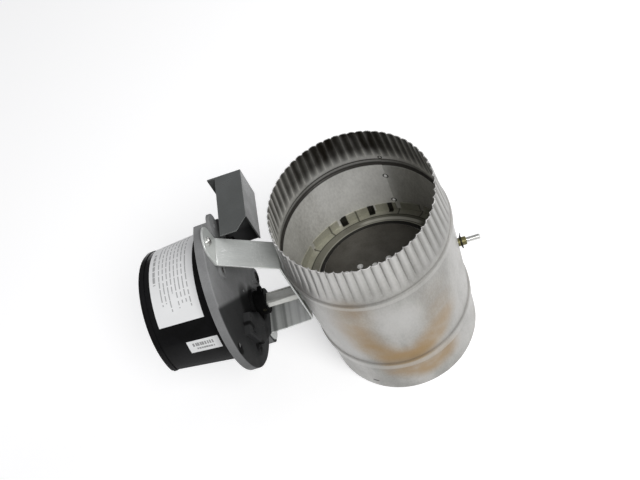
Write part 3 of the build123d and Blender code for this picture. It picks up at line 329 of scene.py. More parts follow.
# Darkening of creases, hollows and grooves is painted shade with some grime; shine is a painted highlight on
# the crimps' crests
pipeGrimeAndShading = {
    "foot": 0.36,
    "footSpread": 0.0010,
    "hollow": 0.95,
    "hollowFade": (0.55, 1.2),  # at a bead's middle, and what it gains towards the feet
    "most": 0.97,
    "groove": 0.42,
    "groovePower": 2,
    "shinePower": 8,
    "insideGroove": 0.80,
    "insideGrowth": 1.6,
    "insideGroovePower": 3,
    "insideShinePower": 1.5,
}
pipeTones = {
    # The tan heat stain: points along its path with the strength there
    "stainPaths": (
        (
            ((-0.0287, -0.0706, 0.166), 0.35), ((-0.0345, -0.0680, 0.131), 0.75),
            ((-0.0272, -0.0712, 0.0955), 0.95), ((-0.0134, -0.0750, 0.0730), 1.00),
            ((0.0117, -0.0753, 0.0700), 1.00), ((0.0309, -0.0697, 0.0830), 1.00),
            ((0.0430, -0.0629, 0.1000), 0.60), ((0.0440, -0.0622, 0.1200), 0.15),
            ((0.0420, -0.0636, 0.145), 0.10),
        ),
        (
            ((-0.0100, -0.0755, 0.0430), 0.60), ((0.0137, -0.0750, 0.0350), 1.00),
            ((0.0350, -0.0677, 0.0390), 1.00),
        ),
    ),
    "stainWidth": 0.027,
    "stainTone": (0.30, 0.188, 0.068, 1),
    "stainScale": 48.0,
    "stainDetail": 5.0,
    "stainFade": (0.25, 0.62, 0.66, 1.0),
    # Painted reflection: a soft pale patch on the front of the pipe, inside the stain's U
    "sheenPlace": ((0.0100, -0.0755, 0.135), (0.032, 0.020, 0.044), 0.9),
    "sheenShare": 0.55,
    "sheenTone": (0.52, 0.52, 0.505, 1),
    # Painted highlight along the crown of each bead
    "crownWidth": 0.6,
    "crownFade": (-0.02, 0.05, 1.0, 0.45),
    "crownShine": 0.34,
    "crownHighlightTone": (0.60, 0.59, 0.565, 1),
    # Painted shade on the right side and painted light on the left side, and the same on the crimped collar
    "rightShadeFade": (0.02, 0.07, 0.0, 0.28),
    "rightShadeTone": (0.24, 0.236, 0.226, 1),
    "leftShadingFade": (-0.02, -0.06, 0.0, 0.28),
    "leftShadingTone": (0.64, 0.63, 0.61, 1),
    "leftCollarLight": ((0.184, 0.215, 0.0, 0.55), (-0.01, 0.06, 1.0, 0.0), (0.60, 0.595, 0.575, 1)),
    "rightCollarShade": ((0.178, 0.186, 0.0, 0.5), (0.01, 0.06, 0.0, 1.0), (0.16, 0.158, 0.150, 1)),
    # Painted shine on the crimps' crests, and painted crease shade with grime
    "shineShare": 0.30,
    "shineTone": (0.80, 0.79, 0.77, 1),
    "shadeAndGrimeTone": (0.085, 0.080, 0.068, 1),
    # Painted shade for a small slot near the foot
    "slotPlace": ((-0.0400, -0.0649, 0.0125), (0.0042, 0.0042, 0.0020), 0.3),
    "slotShadeTone": (0.02, 0.02, 0.02, 1),
}


def paintPipe(tree, place, color):
    # Painted reflection: a soft pale patch
    pale = spot(tree, place, *pipeTones["sheenPlace"])
    color = tint(tree, color, pipeTones["sheenTone"], pale, pipeTones["sheenShare"])
    uneven = noiseAt(tree, place, pipeTones["stainScale"], pipeTones["stainDetail"])
    for path in pipeTones["stainPaths"]:
        mask = strokes(tree, place, path, pipeTones["stainWidth"])
        mask = calc(tree, "MULTIPLY", mask, ramp(tree, uneven, *pipeTones["stainFade"]), clamp=True)
        color = tint(tree, color, pipeTones["stainTone"], mask)
    side, _, height = split(tree, place)
    # Painted highlight on each bead's crown
    for middle, half in pipe["beads"]:
        crown = band(tree, height, middle, half * pipeTones["crownWidth"])
        color = tint(tree, color, pipeTones["crownHighlightTone"], crown, pipeTones["crownShine"],
                     ramp(tree, side, *pipeTones["crownFade"]))
    # Painted shade on the right side and painted light on the left side
    color = tint(tree, color, pipeTones["rightShadeTone"], ramp(tree, side, *pipeTones["rightShadeFade"]))
    color = tint(tree, color, pipeTones["leftShadingTone"], ramp(tree, side, *pipeTones["leftShadingFade"]))
    # Painted light on the collar's left side and painted shade on its right side
    for upFade, sideFade, tone in (pipeTones["leftCollarLight"], pipeTones["rightCollarShade"]):
        color = tint(tree, color, tone, ramp(tree, height, *upFade), ramp(tree, side, *sideFade))
    # Painted shine on the crimps' crests, then painted crease shade with grime
    color = tint(tree, color, pipeTones["shineTone"], attribute(tree, "shine"), pipeTones["shineShare"])
    color = tint(tree, color, pipeTones["shadeAndGrimeTone"], attribute(tree, "shadeAndGrime"))
    # Painted shade for a small slot near the foot
    return tint(tree, color, pipeTones["slotShadeTone"], spot(tree, place, *pipeTones["slotPlace"]))


# Blind rivets in the lap seam and in the bracket
rivets = {
    # Angle, height, and the radii of the inner and outer faces that they stand on
    "places": (
        (66.0, 0.080, 0.07532, 0.0770), (66.0, 0.113, 0.07532, 0.0770), (66.0, 0.152, 0.07532, 0.0770),
        (180.0, 0.091, 0.07532, 0.0798), (180.0, 0.144, 0.07532, 0.0798),
    ),
    "headRadius": 0.0030,
    "headHeight": 0.0011,
    "holeRadius": 0.0009,
    "holeDepth": 0.0006,
    "headSides": 24,
    "headRings": 12,
    "holeSides": 16,
    "blindShare": 0.62,  # size of the inner end against the outer head
    "sharpAngle": 40,
    "seed": 11,
}
# Painted shade in the slots between the stop ring's tabs: the angle of each and half its width
ringSlotShade = {
    "turns": ((109.0, 3.2), (86.0, 2.9), (70.5, 2.2)),
    "tone": (0.015, 0.014, 0.010, 1),
}


def paintSlotShade(tree, angle, where, color):
    for turn, half in ringSlotShade["turns"]:
        color = tint(tree, color, ringSlotShade["tone"], turnBand(tree, angle, turn, half), where)
    return color


insideTones = {
    # Painted shade right of the lap seam, weaker near the mouth
    "lapEdge": (65.6, 66.2, 1.0, 0.0),
    "rightEdge": (-60, -30, 0.0, 1.0),
    "rightTop": (0.166, 0.170, 1.0, 0.25),
    "rightShadeShare": 0.55,
    "rightShadeTone": (0.13, 0.127, 0.112, 1),
    # Painted shade on the left side of the inner wall
    "leftShadingFade": (105, 170, 0.0, 0.40),
    "leftShadingTone": (0.33, 0.325, 0.28, 1),
    # A painted highlight band down the far side of the inner wall
    "middle": (92, 34),
    "middleHighlightShare": 0.35,
    "middleHighlightTone": (1.0, 1.0, 0.97, 1),
    "sootRise": (0.178, 0.200, 0.30, 1.0),
    "sootFoot": (0.1775, 0.1785),
    "sootMiddle": 88,
    "sootFade": (20, 85, 1.0, 0.42),
    "sootTone": (0.010, 0.007, 0.004, 1),
    "streakStretch": (0.9, 3.0),  # round the pipe and along it
    "streakScale": 9.0,
    "streakDetail": 5.0,
    "streakFade": (0.35, 0.6, 0.88, 1.0),
    "slotTop": (0.106, 0.107, 1.0, 0.0),
    "slotFoot": (0.088, 0.089),
    "weldPlace": (0.0312, 0.0684, 0.1800),
    "weldRings": ((0.0026, (0.03, 0.028, 0.022, 1)), (0.0013, (0.60, 0.60, 0.57, 1))),
    "softEdge": 0.35,
    "rivetRadius": 0.0036,
    "rivetShare": 0.95,
    "rivetTone": (0.012, 0.011, 0.009, 1),
    # Painted shine on the crimps' crests, and painted crease shade with grime
    "shineFade": (0.3, 1.0, 0.60, 0.10),
    "shineTone": (0.92, 0.91, 0.86, 1),
    "shadeAndGrimeTone": (0.010, 0.008, 0.005, 1),
}


# The wall's tone by its angle, which is painted shade right of the seam and on the left and a painted
# highlight band on the far side, the mouth's soot, painted shade in the ring's slots, a weld spot, the dark
# round each rivet, a painted shine and painted crease shade with grime
def paintInside(tree, place, color):
    x, y, z = split(tree, place)
    angle = calc(tree, "ARCTAN2", y, x)
    # Painted shade right of the lap seam
    color = tint(tree, color, insideTones["rightShadeTone"], turnRamp(tree, angle, *insideTones["lapEdge"]),
                 turnRamp(tree, angle, *insideTones["rightEdge"]), ramp(tree, z, *insideTones["rightTop"]),
                 insideTones["rightShadeShare"])
    # Painted shade on the left side
    color = tint(tree, color, insideTones["leftShadingTone"], turnRamp(tree, angle, *insideTones["leftShadingFade"]))
    # Painted highlight band on the far side
    middle = turnBand(tree, angle, *insideTones["middle"])
    color = tint(tree, color, insideTones["middleHighlightTone"], middle, insideTones["middleHighlightShare"])
    roundStretch, upStretch = insideTones["streakStretch"]
    streak = combine(tree, times(tree, angle, roundStretch), times(tree, z, upStretch))
    streak = noiseAt(tree, streak, insideTones["streakScale"], insideTones["streakDetail"])
    away = calc(tree, "SUBTRACT", angle, math.radians(insideTones["sootMiddle"]))
    away = calc(tree, "ABSOLUTE", away)
    soot = times(tree, ramp(tree, z, *insideTones["sootRise"]), ramp(tree, z, *insideTones["sootFoot"]),
                 ramp(tree, streak, *insideTones["streakFade"]),
                 turnRamp(tree, away, *insideTones["sootFade"]))
    # Painted shade in the ring's slots, on the wall below the ring
    low = times(tree, ramp(tree, z, *insideTones["slotTop"]), ramp(tree, z, *insideTones["slotFoot"]))
    color = paintSlotShade(tree, angle, low, color)
    color = tint(tree, color, insideTones["sootTone"], soot)
    for radius, tone in insideTones["weldRings"]:
        weld = spot(tree, place, insideTones["weldPlace"], (radius,) * 3, insideTones["softEdge"])
        color = tint(tree, color, tone, weld)
    rings = [((face * math.cos(math.radians(turn)), face * math.sin(math.radians(turn)), height),
              (insideTones["rivetRadius"],) * 3, insideTones["softEdge"], insideTones["rivetShare"])
             for turn, height, face, _ in rivets["places"]]
    color = tint(tree, color, insideTones["rivetTone"], spots(tree, place, rings))
    # Painted shine on the crimps' crests where there is little soot, then painted crease shade with grime
    color = tint(tree, color, insideTones["shineTone"], attribute(tree, "shine"),
                 ramp(tree, soot, *insideTones["shineFade"]))
    return tint(tree, color, insideTones["shadeAndGrimeTone"], attribute(tree, "shadeAndGrime"))


ringTones = {
    # Painted shade on the floor inside the bend of the tabs
    "ringFloorShadeFade": (0.0690, 0.0675, 0.0, 0.74),
    "ringFloorShadeTone": (0.15, 0.145, 0.12, 1),
    # Painted shade on the right side of the ring
    "rightShadeFade": (60, 88, 0.62, 0.0),
    "rightShadeTone": (0.075, 0.075, 0.055, 1),
    "cuts": (24, 44, 64, 98, 122, 142, 164),
    "cutHalf": 0.8,
    "cutFoot": (0.067, 0.068),
    "cutShare": 0.7,
    "cutTone": (0.06, 0.057, 0.045, 1),
    # Painted shade in the crease of the tabs' bend
    "bendShade": (0.0677, 0.0007),
    "bendShadeShare": 0.75,
    "bendShadeTone": (0.04, 0.038, 0.03, 1),
    "slotFoot": (0.0712, 0.0716),
    # Painted highlight along the rolled ridge on the far side
    "ridge": (0.0625, 0.0022),
    "ridgeTurn": (68, 34),
    "ridgeHighlightShare": 0.6,
    "ridgeHighlightTone": (0.80, 0.79, 0.72, 1),
    # Painted shadow on the lip in the gap round the blade, and a painted glint beside it
    "lipShadowFade": (0.0586, 0.0580, 0.0, 0.97),
    "lipShadowTone": (0.008, 0.007, 0.006, 1),
    "glint": (0.0592, 0.0005),
    "glintShare": 0.6,
    "glintTone": (0.62, 0.61, 0.54, 1),
}


# Painted shade on the floor inside the bend of the tabs and on the right side, the tabs' cuts, painted shade
# in the bend and in the slots, a painted highlight on the rolled ridge, a painted shadow on the lip round the
# blade and a painted glint beside it
def paintRing(tree, place, color):
    x, y, _ = split(tree, place)
    radius = vectorMath(tree, "LENGTH", combine(tree, x, y), output="Value")
    angle = calc(tree, "ARCTAN2", y, x)
    # Painted shade on the floor
    color = tint(tree, color, ringTones["ringFloorShadeTone"], ramp(tree, radius, *ringTones["ringFloorShadeFade"]))
    # Painted shade on the right side
    color = tint(tree, color, ringTones["rightShadeTone"], turnRamp(tree, angle, *ringTones["rightShadeFade"]))
    for turn in ringTones["cuts"]:
        cut = turnBand(tree, angle, turn, ringTones["cutHalf"])
        color = tint(tree, color, ringTones["cutTone"], cut, ramp(tree, radius, *ringTones["cutFoot"]),
                     ringTones["cutShare"])
    bendShade = band(tree, radius, *ringTones["bendShade"])
    # Painted shade in the bend's crease
    color = tint(tree, color, ringTones["bendShadeTone"], bendShade, ringTones["bendShadeShare"])
    # Painted shade in the ring's slots
    color = paintSlotShade(tree, angle, ramp(tree, radius, *ringTones["slotFoot"]), color)
    # Painted highlight on the rolled ridge
    color = tint(tree, color, ringTones["ridgeHighlightTone"], band(tree, radius, *ringTones["ridge"]),
                 turnBand(tree, angle, *ringTones["ridgeTurn"]), ringTones["ridgeHighlightShare"])
    # Painted shadow on the lip round the blade
    color = tint(tree, color, ringTones["lipShadowTone"], ramp(tree, radius, *ringTones["lipShadowFade"]))
    glint = band(tree, radius, *ringTones["glint"])
    return tint(tree, color, ringTones["glintTone"], glint, ringTones["glintShare"])


baseTones = {
    "faceFade": (-0.1272, -0.1262),
    "slope": 1.31,
    # Painted shadow of the pipe on the lower part of the face
    "castShadowFade": (0.130, 0.138, 0.90, 0.0),
    "castShadowTone": (0.022, 0.0225, 0.023, 1),
    # Painted shade marks on the face: centre in y and z, their two radii, softness and strength
    "marks": (
        ((0.0385, 0.0975), (0.0078, 0.0090), 0.35, 0.97), ((-0.0735, 0.1640), (0.0056, 0.0086), 0.30, 1.00),
        ((-0.0485, 0.1150), (0.0070, 0.0080), 0.50, 0.95), ((-0.0413, 0.1440), (0.0034, 0.0090), 0.45, 0.85),
        ((-0.0100, 0.1350), (0.0230, 0.0230), 0.45, 0.75), ((0.0000, 0.1110), (0.0220, 0.0220), 0.25, 0.90),
        ((0.0320, 0.0820), (0.0060, 0.0060), 0.50, 0.80), ((-0.0300, 0.1000), (0.0180, 0.0080), 0.70, 0.55),
    ),
    "markPlane": (-0.123, 0.012),  # the marks' middle in x and their radius there
    "shadeMarkTone": (0.004, 0.004, 0.004, 1),
}


# A painted shadow darkens the face under a slanting line, and painted shade is darkest at the hub and in its
# holes
def paintBase(tree, place, color):
    x, y, z = split(tree, place)
    face = ramp(tree, x, *baseTones["faceFade"])
    slant = calc(tree, "ADD", times(tree, y, baseTones["slope"]), z)
    # Painted shadow under the slanting line
    color = tint(tree, color, baseTones["castShadowTone"], ramp(tree, slant, *baseTones["castShadowFade"]), face)
    markX, halfX = baseTones["markPlane"]
    # Painted shade at the hub and in its holes
    marks = spots(tree, place, [((markX, middleY, middleZ), (halfX, halfY, halfZ), edge, strength)
                                for (middleY, middleZ), (halfY, halfZ), edge, strength in baseTones["marks"]])
    return tint(tree, color, baseTones["shadeMarkTone"], marks, face)


# Painted shade on the near end of the folded sheet
guardShade = {
    "top": 0.209,
    "slope": 0.25,
    "nearFade": (0.033, 0.042, 1.0, 0.0),
    "topFade": (0.2084, 0.2087, 1.0, 0.0),
    "share": 0.93,
    "tone": (0.004, 0.004, 0.004, 1),
}


# Painted shade: the near end of the folded sheet is darkened below its top
def paintGuard(tree, place, color):
    _, y, z = split(tree, place)
    below = times(tree, calc(tree, "SUBTRACT", z, guardShade["top"]), guardShade["slope"])
    near = ramp(tree, calc(tree, "ADD", y, below), *guardShade["nearFade"])
    under = ramp(tree, z, *guardShade["topFade"])
    return tint(tree, color, guardShade["tone"], near, under, guardShade["share"])


bracketTones = {
    "rubbedStretch": (1.0, 4.0, 0.2),
    "rubbedScale": 260.0,
    "rubbedFade": (0.57, 0.63),
    "rubbedPlace": ((-0.114, -0.002, 0.208), (0.012, 0.012, 0.010), 0.7),
    "rubbedTone": (1.0, 1.0, 1.0, 1),
    "streakScale": 190.0,
    "streakFade": (0.42, 0.62, 0.0, 0.7),
    "noiseDetail": 3.0,
    "legTop": (0.080, 0.084, 1.0, 0.0),
    # Painted highlight on the lower leg towards the pipe
    "sheenFade": (-0.112, -0.088, 0.0, 0.8),
    "sheenTone": (0.95, 0.96, 0.95, 1),
    "darkFade": (-0.118, -0.085, 1.0, 0.25),
    "darkTone": (0.12, 0.125, 0.12, 1),
}


# A rubbed patch near the upper fold, and on the lower leg dark streaks, with a painted highlight that turns
# the leg pale towards the pipe
def paintBracket(tree, place, color):
    x, _, z = split(tree, place)
    detail = bracketTones["noiseDetail"]
    streak = noiseAt(tree, combine(tree, x), bracketTones["streakScale"], detail)
    rubbed = vectorMath(tree, "MULTIPLY", place, bracketTones["rubbedStretch"])
    rubbed = noiseAt(tree, rubbed, bracketTones["rubbedScale"], detail)
    color = tint(tree, color, bracketTones["rubbedTone"], spot(tree, place, *bracketTones["rubbedPlace"]),
                 ramp(tree, rubbed, *bracketTones["rubbedFade"]))
    leg = ramp(tree, z, *bracketTones["legTop"])
    # Painted highlight towards the pipe
    color = tint(tree, color, bracketTones["sheenTone"], leg, ramp(tree, x, *bracketTones["sheenFade"]))
    return tint(tree, color, bracketTones["darkTone"], leg, ramp(tree, streak, *bracketTones["streakFade"]),
                ramp(tree, x, *bracketTones["darkFade"]))


label = {
    "axisHeight": 0.138,
    "wordGap": 0.45,
    "ink": (0.06, 0.06, 0.06, 1),
    # A row of dashes: its direction, its middle across that, half its width, and where it starts and ends
    "title": ("around", -0.1868, 0.0014, 1.10, 1.72),
    "rows": 8,
    "firstRow": -0.1818,
    "rowPitch": 0.0037,
    "rowHalf": 0.00062,
    "rowStart": (0.62, 0.30),  # the earliest start and its spread
    "rowEnd": (2.16, 0.35),  # the latest end and its spread
    "ratingWords": (0.105, 0.55),  # the length of a dash and its gap, and the ink's strength
    "serialRows": (("along", 2.705, 0.032, -0.169, -0.149), ("along", 2.775, 0.017, -0.167, -0.150)),
    "serialWords": (0.0022, 0.7),
    "seed": 3,
}


def paintLabel(rows, wordLength, inkShare):
    def paint(tree, place, color):
        x, y, z = split(tree, place)
        turn = calc(tree, "ARCTAN2", calc(tree, "SUBTRACT", z, label["axisHeight"]), y)
        masks = []
        for number, (direction, middle, half, begin, end) in enumerate(rows):
            across, along = (x, turn) if direction == "around" else (turn, x)
            word = calc(tree, "DIVIDE", along, wordLength)
            whole = combine(tree, calc(tree, "FLOOR", word), float(number))
            chance = addNode(tree, "ShaderNodeTexWhiteNoise", {"Vector": whole}, noise_dimensions="3D")
            gap = times(tree, chance.outputs["Value"], label["wordGap"])
            gate = calc(tree, "GREATER_THAN", calc(tree, "FRACT", word), gap)
            started = calc(tree, "GREATER_THAN", along, begin)
            inside = times(tree, started, calc(tree, "LESS_THAN", along, end))
            masks.append(times(tree, band(tree, across, middle, half), gate, inside))
        return tint(tree, color, label["ink"], largest(tree, masks), inkShare)
    return paint


spread = random.Random(label["seed"])
ratingRows = [label["title"]]
for row in range(label["rows"]):
    middle = label["firstRow"] + row * label["rowPitch"]
    begin = label["rowStart"][0] + label["rowStart"][1] * spread.random()
    end = label["rowEnd"][0] - label["rowEnd"][1] * spread.random() ** 2
    ratingRows.append(("around", middle, label["rowHalf"], begin, end))

paper = {
    "dark": (0.84, 0.845, 0.845, 1), "light": (0.90, 0.905, 0.905, 1), "rough": (0.42, 0.55),
    "cloudScale": 40.0, "grainScale": 1500.0, "bump": 0.06,
}
looks = {
    "galvanised": {
        "paint": paintPipe,
        "dark": (0.30, 0.295, 0.275, 1), "light": (0.46, 0.45, 0.43, 1), "metallic": 0.45,
        "rough": (0.32, 0.46),
        "cloudScale": 26.0, "grainScale": 650.0, "grainShare": 0.25, "stretch": (1.0, 1.0, 0.45),
        "scratch": 0.35, "scratchColor": (0.60, 0.59, 0.57, 1),
    },
    "galvanisedInside": {
        "paint": paintInside,
        "dark": (0.52, 0.51, 0.475, 1), "light": (0.84, 0.83, 0.79, 1), "metallic": 0.25, "specular": 0.3,
        "rough": (0.38, 0.52), "cloudScale": 30.0, "grainScale": 500.0, "grainShare": 0.4,
        "stretch": (1.0, 1.0, 0.5), "bump": 0.4,
    },
    "cutEdge": {
        "dark": (0.05, 0.048, 0.044, 1), "light": (0.95, 0.94, 0.92, 1), "metallic": 0.2,
        "rough": (0.30, 0.45), "cloudScale": 260.0, "grainScale": 500.0, "grainShare": 0.5,
    },
    "bracketSteel": {
        "paint": paintBracket,
        "dark": (0.56, 0.58, 0.56, 1), "light": (0.74, 0.76, 0.735, 1), "metallic": 0.45,
        "rough": (0.28, 0.42),
        "cloudScale": 40.0, "grainScale": 800.0, "grainShare": 0.25, "stretch": (0.35, 1.0, 0.35),
        "bump": 0.25,
        "scratch": 0.8, "scratchColor": (0.85, 0.86, 0.85, 1), "scratchScale": 90.0, "edge": 0.7,
        "edgeColor": (0.75, 0.76, 0.74, 1),
    },
    "ringSteel": {
        "paint": paintRing,
        "dark": (0.42, 0.41, 0.33, 1), "light": (0.64, 0.63, 0.54, 1), "metallic": 0.35,
        "rough": (0.38, 0.54), "cloudScale": 45.0, "grainScale": 600.0, "edge": 0.5,
        "edgeColor": (0.55, 0.54, 0.48, 1),
    },
    "bladeSteel": {
        "dark": (0.060, 0.055, 0.045, 1), "light": (0.105, 0.098, 0.084, 1), "metallic": 0.3,
        "rough": (0.38, 0.50), "cloudScale": 28.0, "grainScale": 600.0, "grainShare": 0.25, "bump": 0.2,
        "edge": 0.8, "edgeColor": (0.42, 0.40, 0.36, 1),
    },
    "zincPlate": {
        "dark": (0.52, 0.525, 0.49, 1), "light": (0.68, 0.685, 0.65, 1), "metallic": 0.45,
        "rough": (0.28, 0.42), "cloudScale": 60.0, "stretch": (0.3, 1.0, 1.0), "bump": 0.25,
        "edge": 0.5, "edgeColor": (0.62, 0.62, 0.57, 1),
    },
    "brightSteel": {
        "dark": (0.48, 0.48, 0.46, 1), "light": (0.72, 0.72, 0.70, 1), "metallic": 0.85,
        "rough": (0.20, 0.34), "cloudScale": 120.0, "grainScale": 1200.0, "bump": 0.15,
    },
    "rivetWhite": {
        "dark": (0.80, 0.80, 0.78, 1), "light": (0.95, 0.95, 0.94, 1), "rough": (0.30, 0.42),
        "cloudScale": 120.0, "grainScale": 1200.0, "bump": 0.1,
    },
    "rivetAluminium": {
        "dark": (0.66, 0.66, 0.64, 1), "light": (0.95, 0.95, 0.93, 1), "metallic": 0.25,
        "rough": (0.24, 0.36), "cloudScale": 120.0, "grainScale": 1200.0, "bump": 0.1,
    },
    "brass": {
        "dark": (0.10, 0.09, 0.034, 1), "light": (0.23, 0.21, 0.095, 1), "metallic": 0.6,
        "rough": (0.30, 0.46), "cloudScale": 150.0, "grainScale": 1200.0, "bump": 0.15,
    },
    "springSteel": {
        "dark": (0.012, 0.011, 0.007, 1), "light": (0.040, 0.037, 0.024, 1), "metallic": 0.4, "specular": 0.2,
        "rough": (0.34, 0.50), "cloudScale": 150.0, "grainScale": 1200.0, "bump": 0.2,
    },
    "basePaint": {
        "paint": paintBase,
        "dark": (0.190, 0.192, 0.193, 1), "light": (0.250, 0.252, 0.253, 1), "specular": 0.012,
        "rough": (0.40, 0.52), "cloudScale": 35.0, "grainScale": 700.0, "grainShare": 0.35, "bump": 0.35,
        "edge": 0.55, "edgeColor": (0.30, 0.30, 0.30, 1), "edgeWidth": 0.0009,
    },
    "guardPaint": {
        "paint": paintGuard,
        "dark": (0.072, 0.076, 0.074, 1), "light": (0.095, 0.100, 0.098, 1), "rough": (0.26, 0.38),
        "cloudScale": 30.0, "grainScale": 800.0, "bump": 0.2, "edge": 0.8,
        "edgeColor": (0.36, 0.37, 0.365, 1),
    },
    "coverBlack": {
        "dark": (0.005, 0.005, 0.005, 1), "light": (0.011, 0.011, 0.012, 1), "specular": 0.075,
        "rough": (0.16, 0.24), "cloudScale": 30.0, "grainScale": 500.0, "grainShare": 0.2, "bump": 0.08,
    },
    "hubBlack": {
        "dark": (0.002, 0.002, 0.002, 1), "light": (0.006, 0.006, 0.006, 1), "specular": 0.02,
        "rough": (0.48, 0.62), "cloudScale": 80.0, "grainShare": 0.4,
    },
    "acetal": {
        "dark": (0.66, 0.65, 0.61, 1), "light": (0.76, 0.75, 0.71, 1), "rough": (0.36, 0.46),
        "cloudScale": 60.0, "bump": 0.15,
    },
    "boardGreen": {
        "dark": (0.012, 0.075, 0.030, 1), "light": (0.020, 0.110, 0.045, 1), "rough": (0.26, 0.38),
        "cloudScale": 90.0, "grainShare": 0.4, "bump": 0.2,
    },
    "mouldedBlack": {
        "dark": (0.012, 0.012, 0.012, 1), "light": (0.026, 0.026, 0.026, 1), "rough": (0.38, 0.50),
        "cloudScale": 90.0, "grainShare": 0.4, "bump": 0.25,
    },
    "spareBrass": {
        "dark": (0.48, 0.36, 0.14, 1), "light": (0.62, 0.48, 0.22, 1), "metallic": 0.8, "rough": (0.26, 0.42),
        "cloudScale": 150.0, "grainScale": 1200.0,
    },
    "ratingPaper": {**paper, "paint": paintLabel(ratingRows, *label["ratingWords"])},
    "serialPaper": {**paper, "paint": paintLabel(label["serialRows"], *label["serialWords"])},
}
materials = {name: surface(name, look) for name, look in looks.items()}
print("materials", len(materials))

nodeLooks = {
    "ringSteel": ("baffle_ring_far", "baffle_ring_near"),
    "bladeSteel": ("damper_blade",),
    "zincPlate": ("blade_shaft", "bracket_spacers", "gear_plate", "plate_posts", "gear_motor"),
    "rivetWhite": ("blade_rivets",),
    "brightSteel": (
        "pivot_stud", "stud_pin", "bracket_screws", "output_shaft", "idler_arbor", "motor_shaft",
        "plate_screws", "motor_screws", "open_switch_lever", "closed_switch_lever", "lever_pins",
        "switch_screws", "board_screws",
    ),
    "brass": ("pivot_bush",),
    "springSteel": ("star_washer", "cover_screws", "guard_screws", "hub_screw"),
    "bracketSteel": ("hat_bracket",),
    "basePaint": ("actuator_base",),
    "coverBlack": ("motor_cover",),
    "ratingPaper": ("rating_label",),
    "serialPaper": ("serial_label",),
    "spareBrass": ("output_bush", "motor_pinion"),
    "hubBlack": ("drive_hub", "harness_socket"),
    "acetal": ("output_gear", "idler_gear", "switch_cam"),
    "mouldedBlack": ("open_switch", "closed_switch", "board_relay", "board_capacitors"),
    "boardGreen": ("circuit_board", "terminal_block"),
    "guardPaint": ("harness_guard",),
}
for look, members in nodeLooks.items():
    for node in members:
        slots = nodes[node].data.materials
        slots.clear()
        slots.append(materials[look])
print("dressed", sum(len(members) for members in nodeLooks.values()), "nodes")


# Rise of a rolled bead over the wall at a height: quick shoulders and a rounded crown
def beadLift(z):
    for middle, half in pipe["beads"]:
        away = abs(z - middle)
        if away < half:
            shoulder = min(1.0, (half - away) / pipe["beadShoulder"])
            shoulder = shoulder * shoulder * (3 - 2 * shoulder)
            crown = 1 - pipe["beadCrown"] * (away / half) ** 2
            return pipe["beadRise"] * shoulder * crown
    return 0.0


# Painted crease shade, with some dirt, along the feet of a bead, and all over its hollow side
def beadShadeAndGrime(z, inside):
    total = 0.0
    atMiddle, growth = pipeGrimeAndShading["hollowFade"]
    for middle, half in pipe["beads"]:
        away = abs(z - middle)
        total += pipeGrimeAndShading["foot"] * math.exp(-(((away - half) / pipeGrimeAndShading["footSpread"]) ** 2))
        if inside and away < half:
            total += pipeGrimeAndShading["hollow"] * min(1.0, atMiddle + growth * away / half)
    return min(total, pipeGrimeAndShading["most"])


def pipeLevels():
    levels = list(pipe["plainRows"])
    for middle, half in pipe["beads"]:
        for away in [half + past for past in pipe["beadRows"]] + [half / 2]:
            levels += [middle - away, middle + away]
        levels.append(middle)
    lowest, step, count = pipe["holeRows"]
    levels += [lowest + step * number for number in range(count)]
    crimpLength = pipe["length"] - pipe["crimpFoot"]
    for number in range(pipe["crimpRows"] + 1):
        levels.append(pipe["crimpFoot"] + crimpLength * (number / pipe["crimpRows"]) ** pipe["crimpRowPower"])
    return sorted(set(round(level, 5) for level in levels))


# A point of the wall below the crimps: its radius, painted crease shade with grime, and shine
def plainWall(angle, z, inside):
    around, along = pipe["dentScale"]
    dent = noise.noise(Vector((math.cos(angle) * around, math.sin(angle) * around, z * along))) * pipe["dent"]
    radius = pipe["radius"] + beadLift(z) + min(dent, 0.0)
    turn = math.degrees(angle) % 360
    if inside:
        radius -= pipe["sheet"]
        lapStart, lapEnd = pipe["insideLapStart"], pipe["insideLapEnd"]
        if lapStart < turn < lapEnd and z < pipe["crimpFoot"]:
            radius -= pipe["insideStep"] * (turn - lapStart) / (lapEnd - lapStart)
    elif pipe["lapStart"] < turn < pipe["lapEnd"] and pipe["lapLow"] < z < pipe["lapHigh"]:
        radius += pipe["sheet"]
    return radius, beadShadeAndGrime(z, inside), 0.0


# The same in the crimped collar, where each crimp has its own depth and foot
def crimpWall(angle, z, inside, depths, feet):
    crimpLength = pipe["length"] - pipe["crimpFoot"]
    lane = angle / (2 * math.pi) * pipe["crimps"] + 0.5
    number = int(math.floor(lane)) % pipe["crimps"]
    rise = (z - pipe["crimpFoot"]) / crimpLength
    start = feet[number] / crimpLength
    grown = max(0.0, (rise - start) / (1 - start)) ** pipe["crimpGrowth"]
    crest = pipe["radius"] + (pipe["crestAtMouth"] - pipe["radius"]) * rise
    ridge = abs(math.sin(math.pi * (lane % 1.0))) ** pipe["crimpPower"]
    radius = crest - pipe["depthAtMouth"] * depths[number] * grown * (1 - ridge)
    # Painted shade with grime in the grooves' hollows, and a painted shine on the crests
    if inside:
        shadeAndGrime = pipeGrimeAndShading["insideGroove"] * min(1.0, pipeGrimeAndShading["insideGrowth"] * grown)
        shadeAndGrime *= ridge ** pipeGrimeAndShading["insideGroovePower"]
        return radius - pipe["sheet"], shadeAndGrime, (1 - ridge) ** pipeGrimeAndShading["insideShinePower"]
    shadeAndGrime = pipeGrimeAndShading["groove"] * grown * (1 - ridge) ** pipeGrimeAndShading["groovePower"]
    return radius, shadeAndGrime, grown * ridge ** pipeGrimeAndShading["shinePower"]


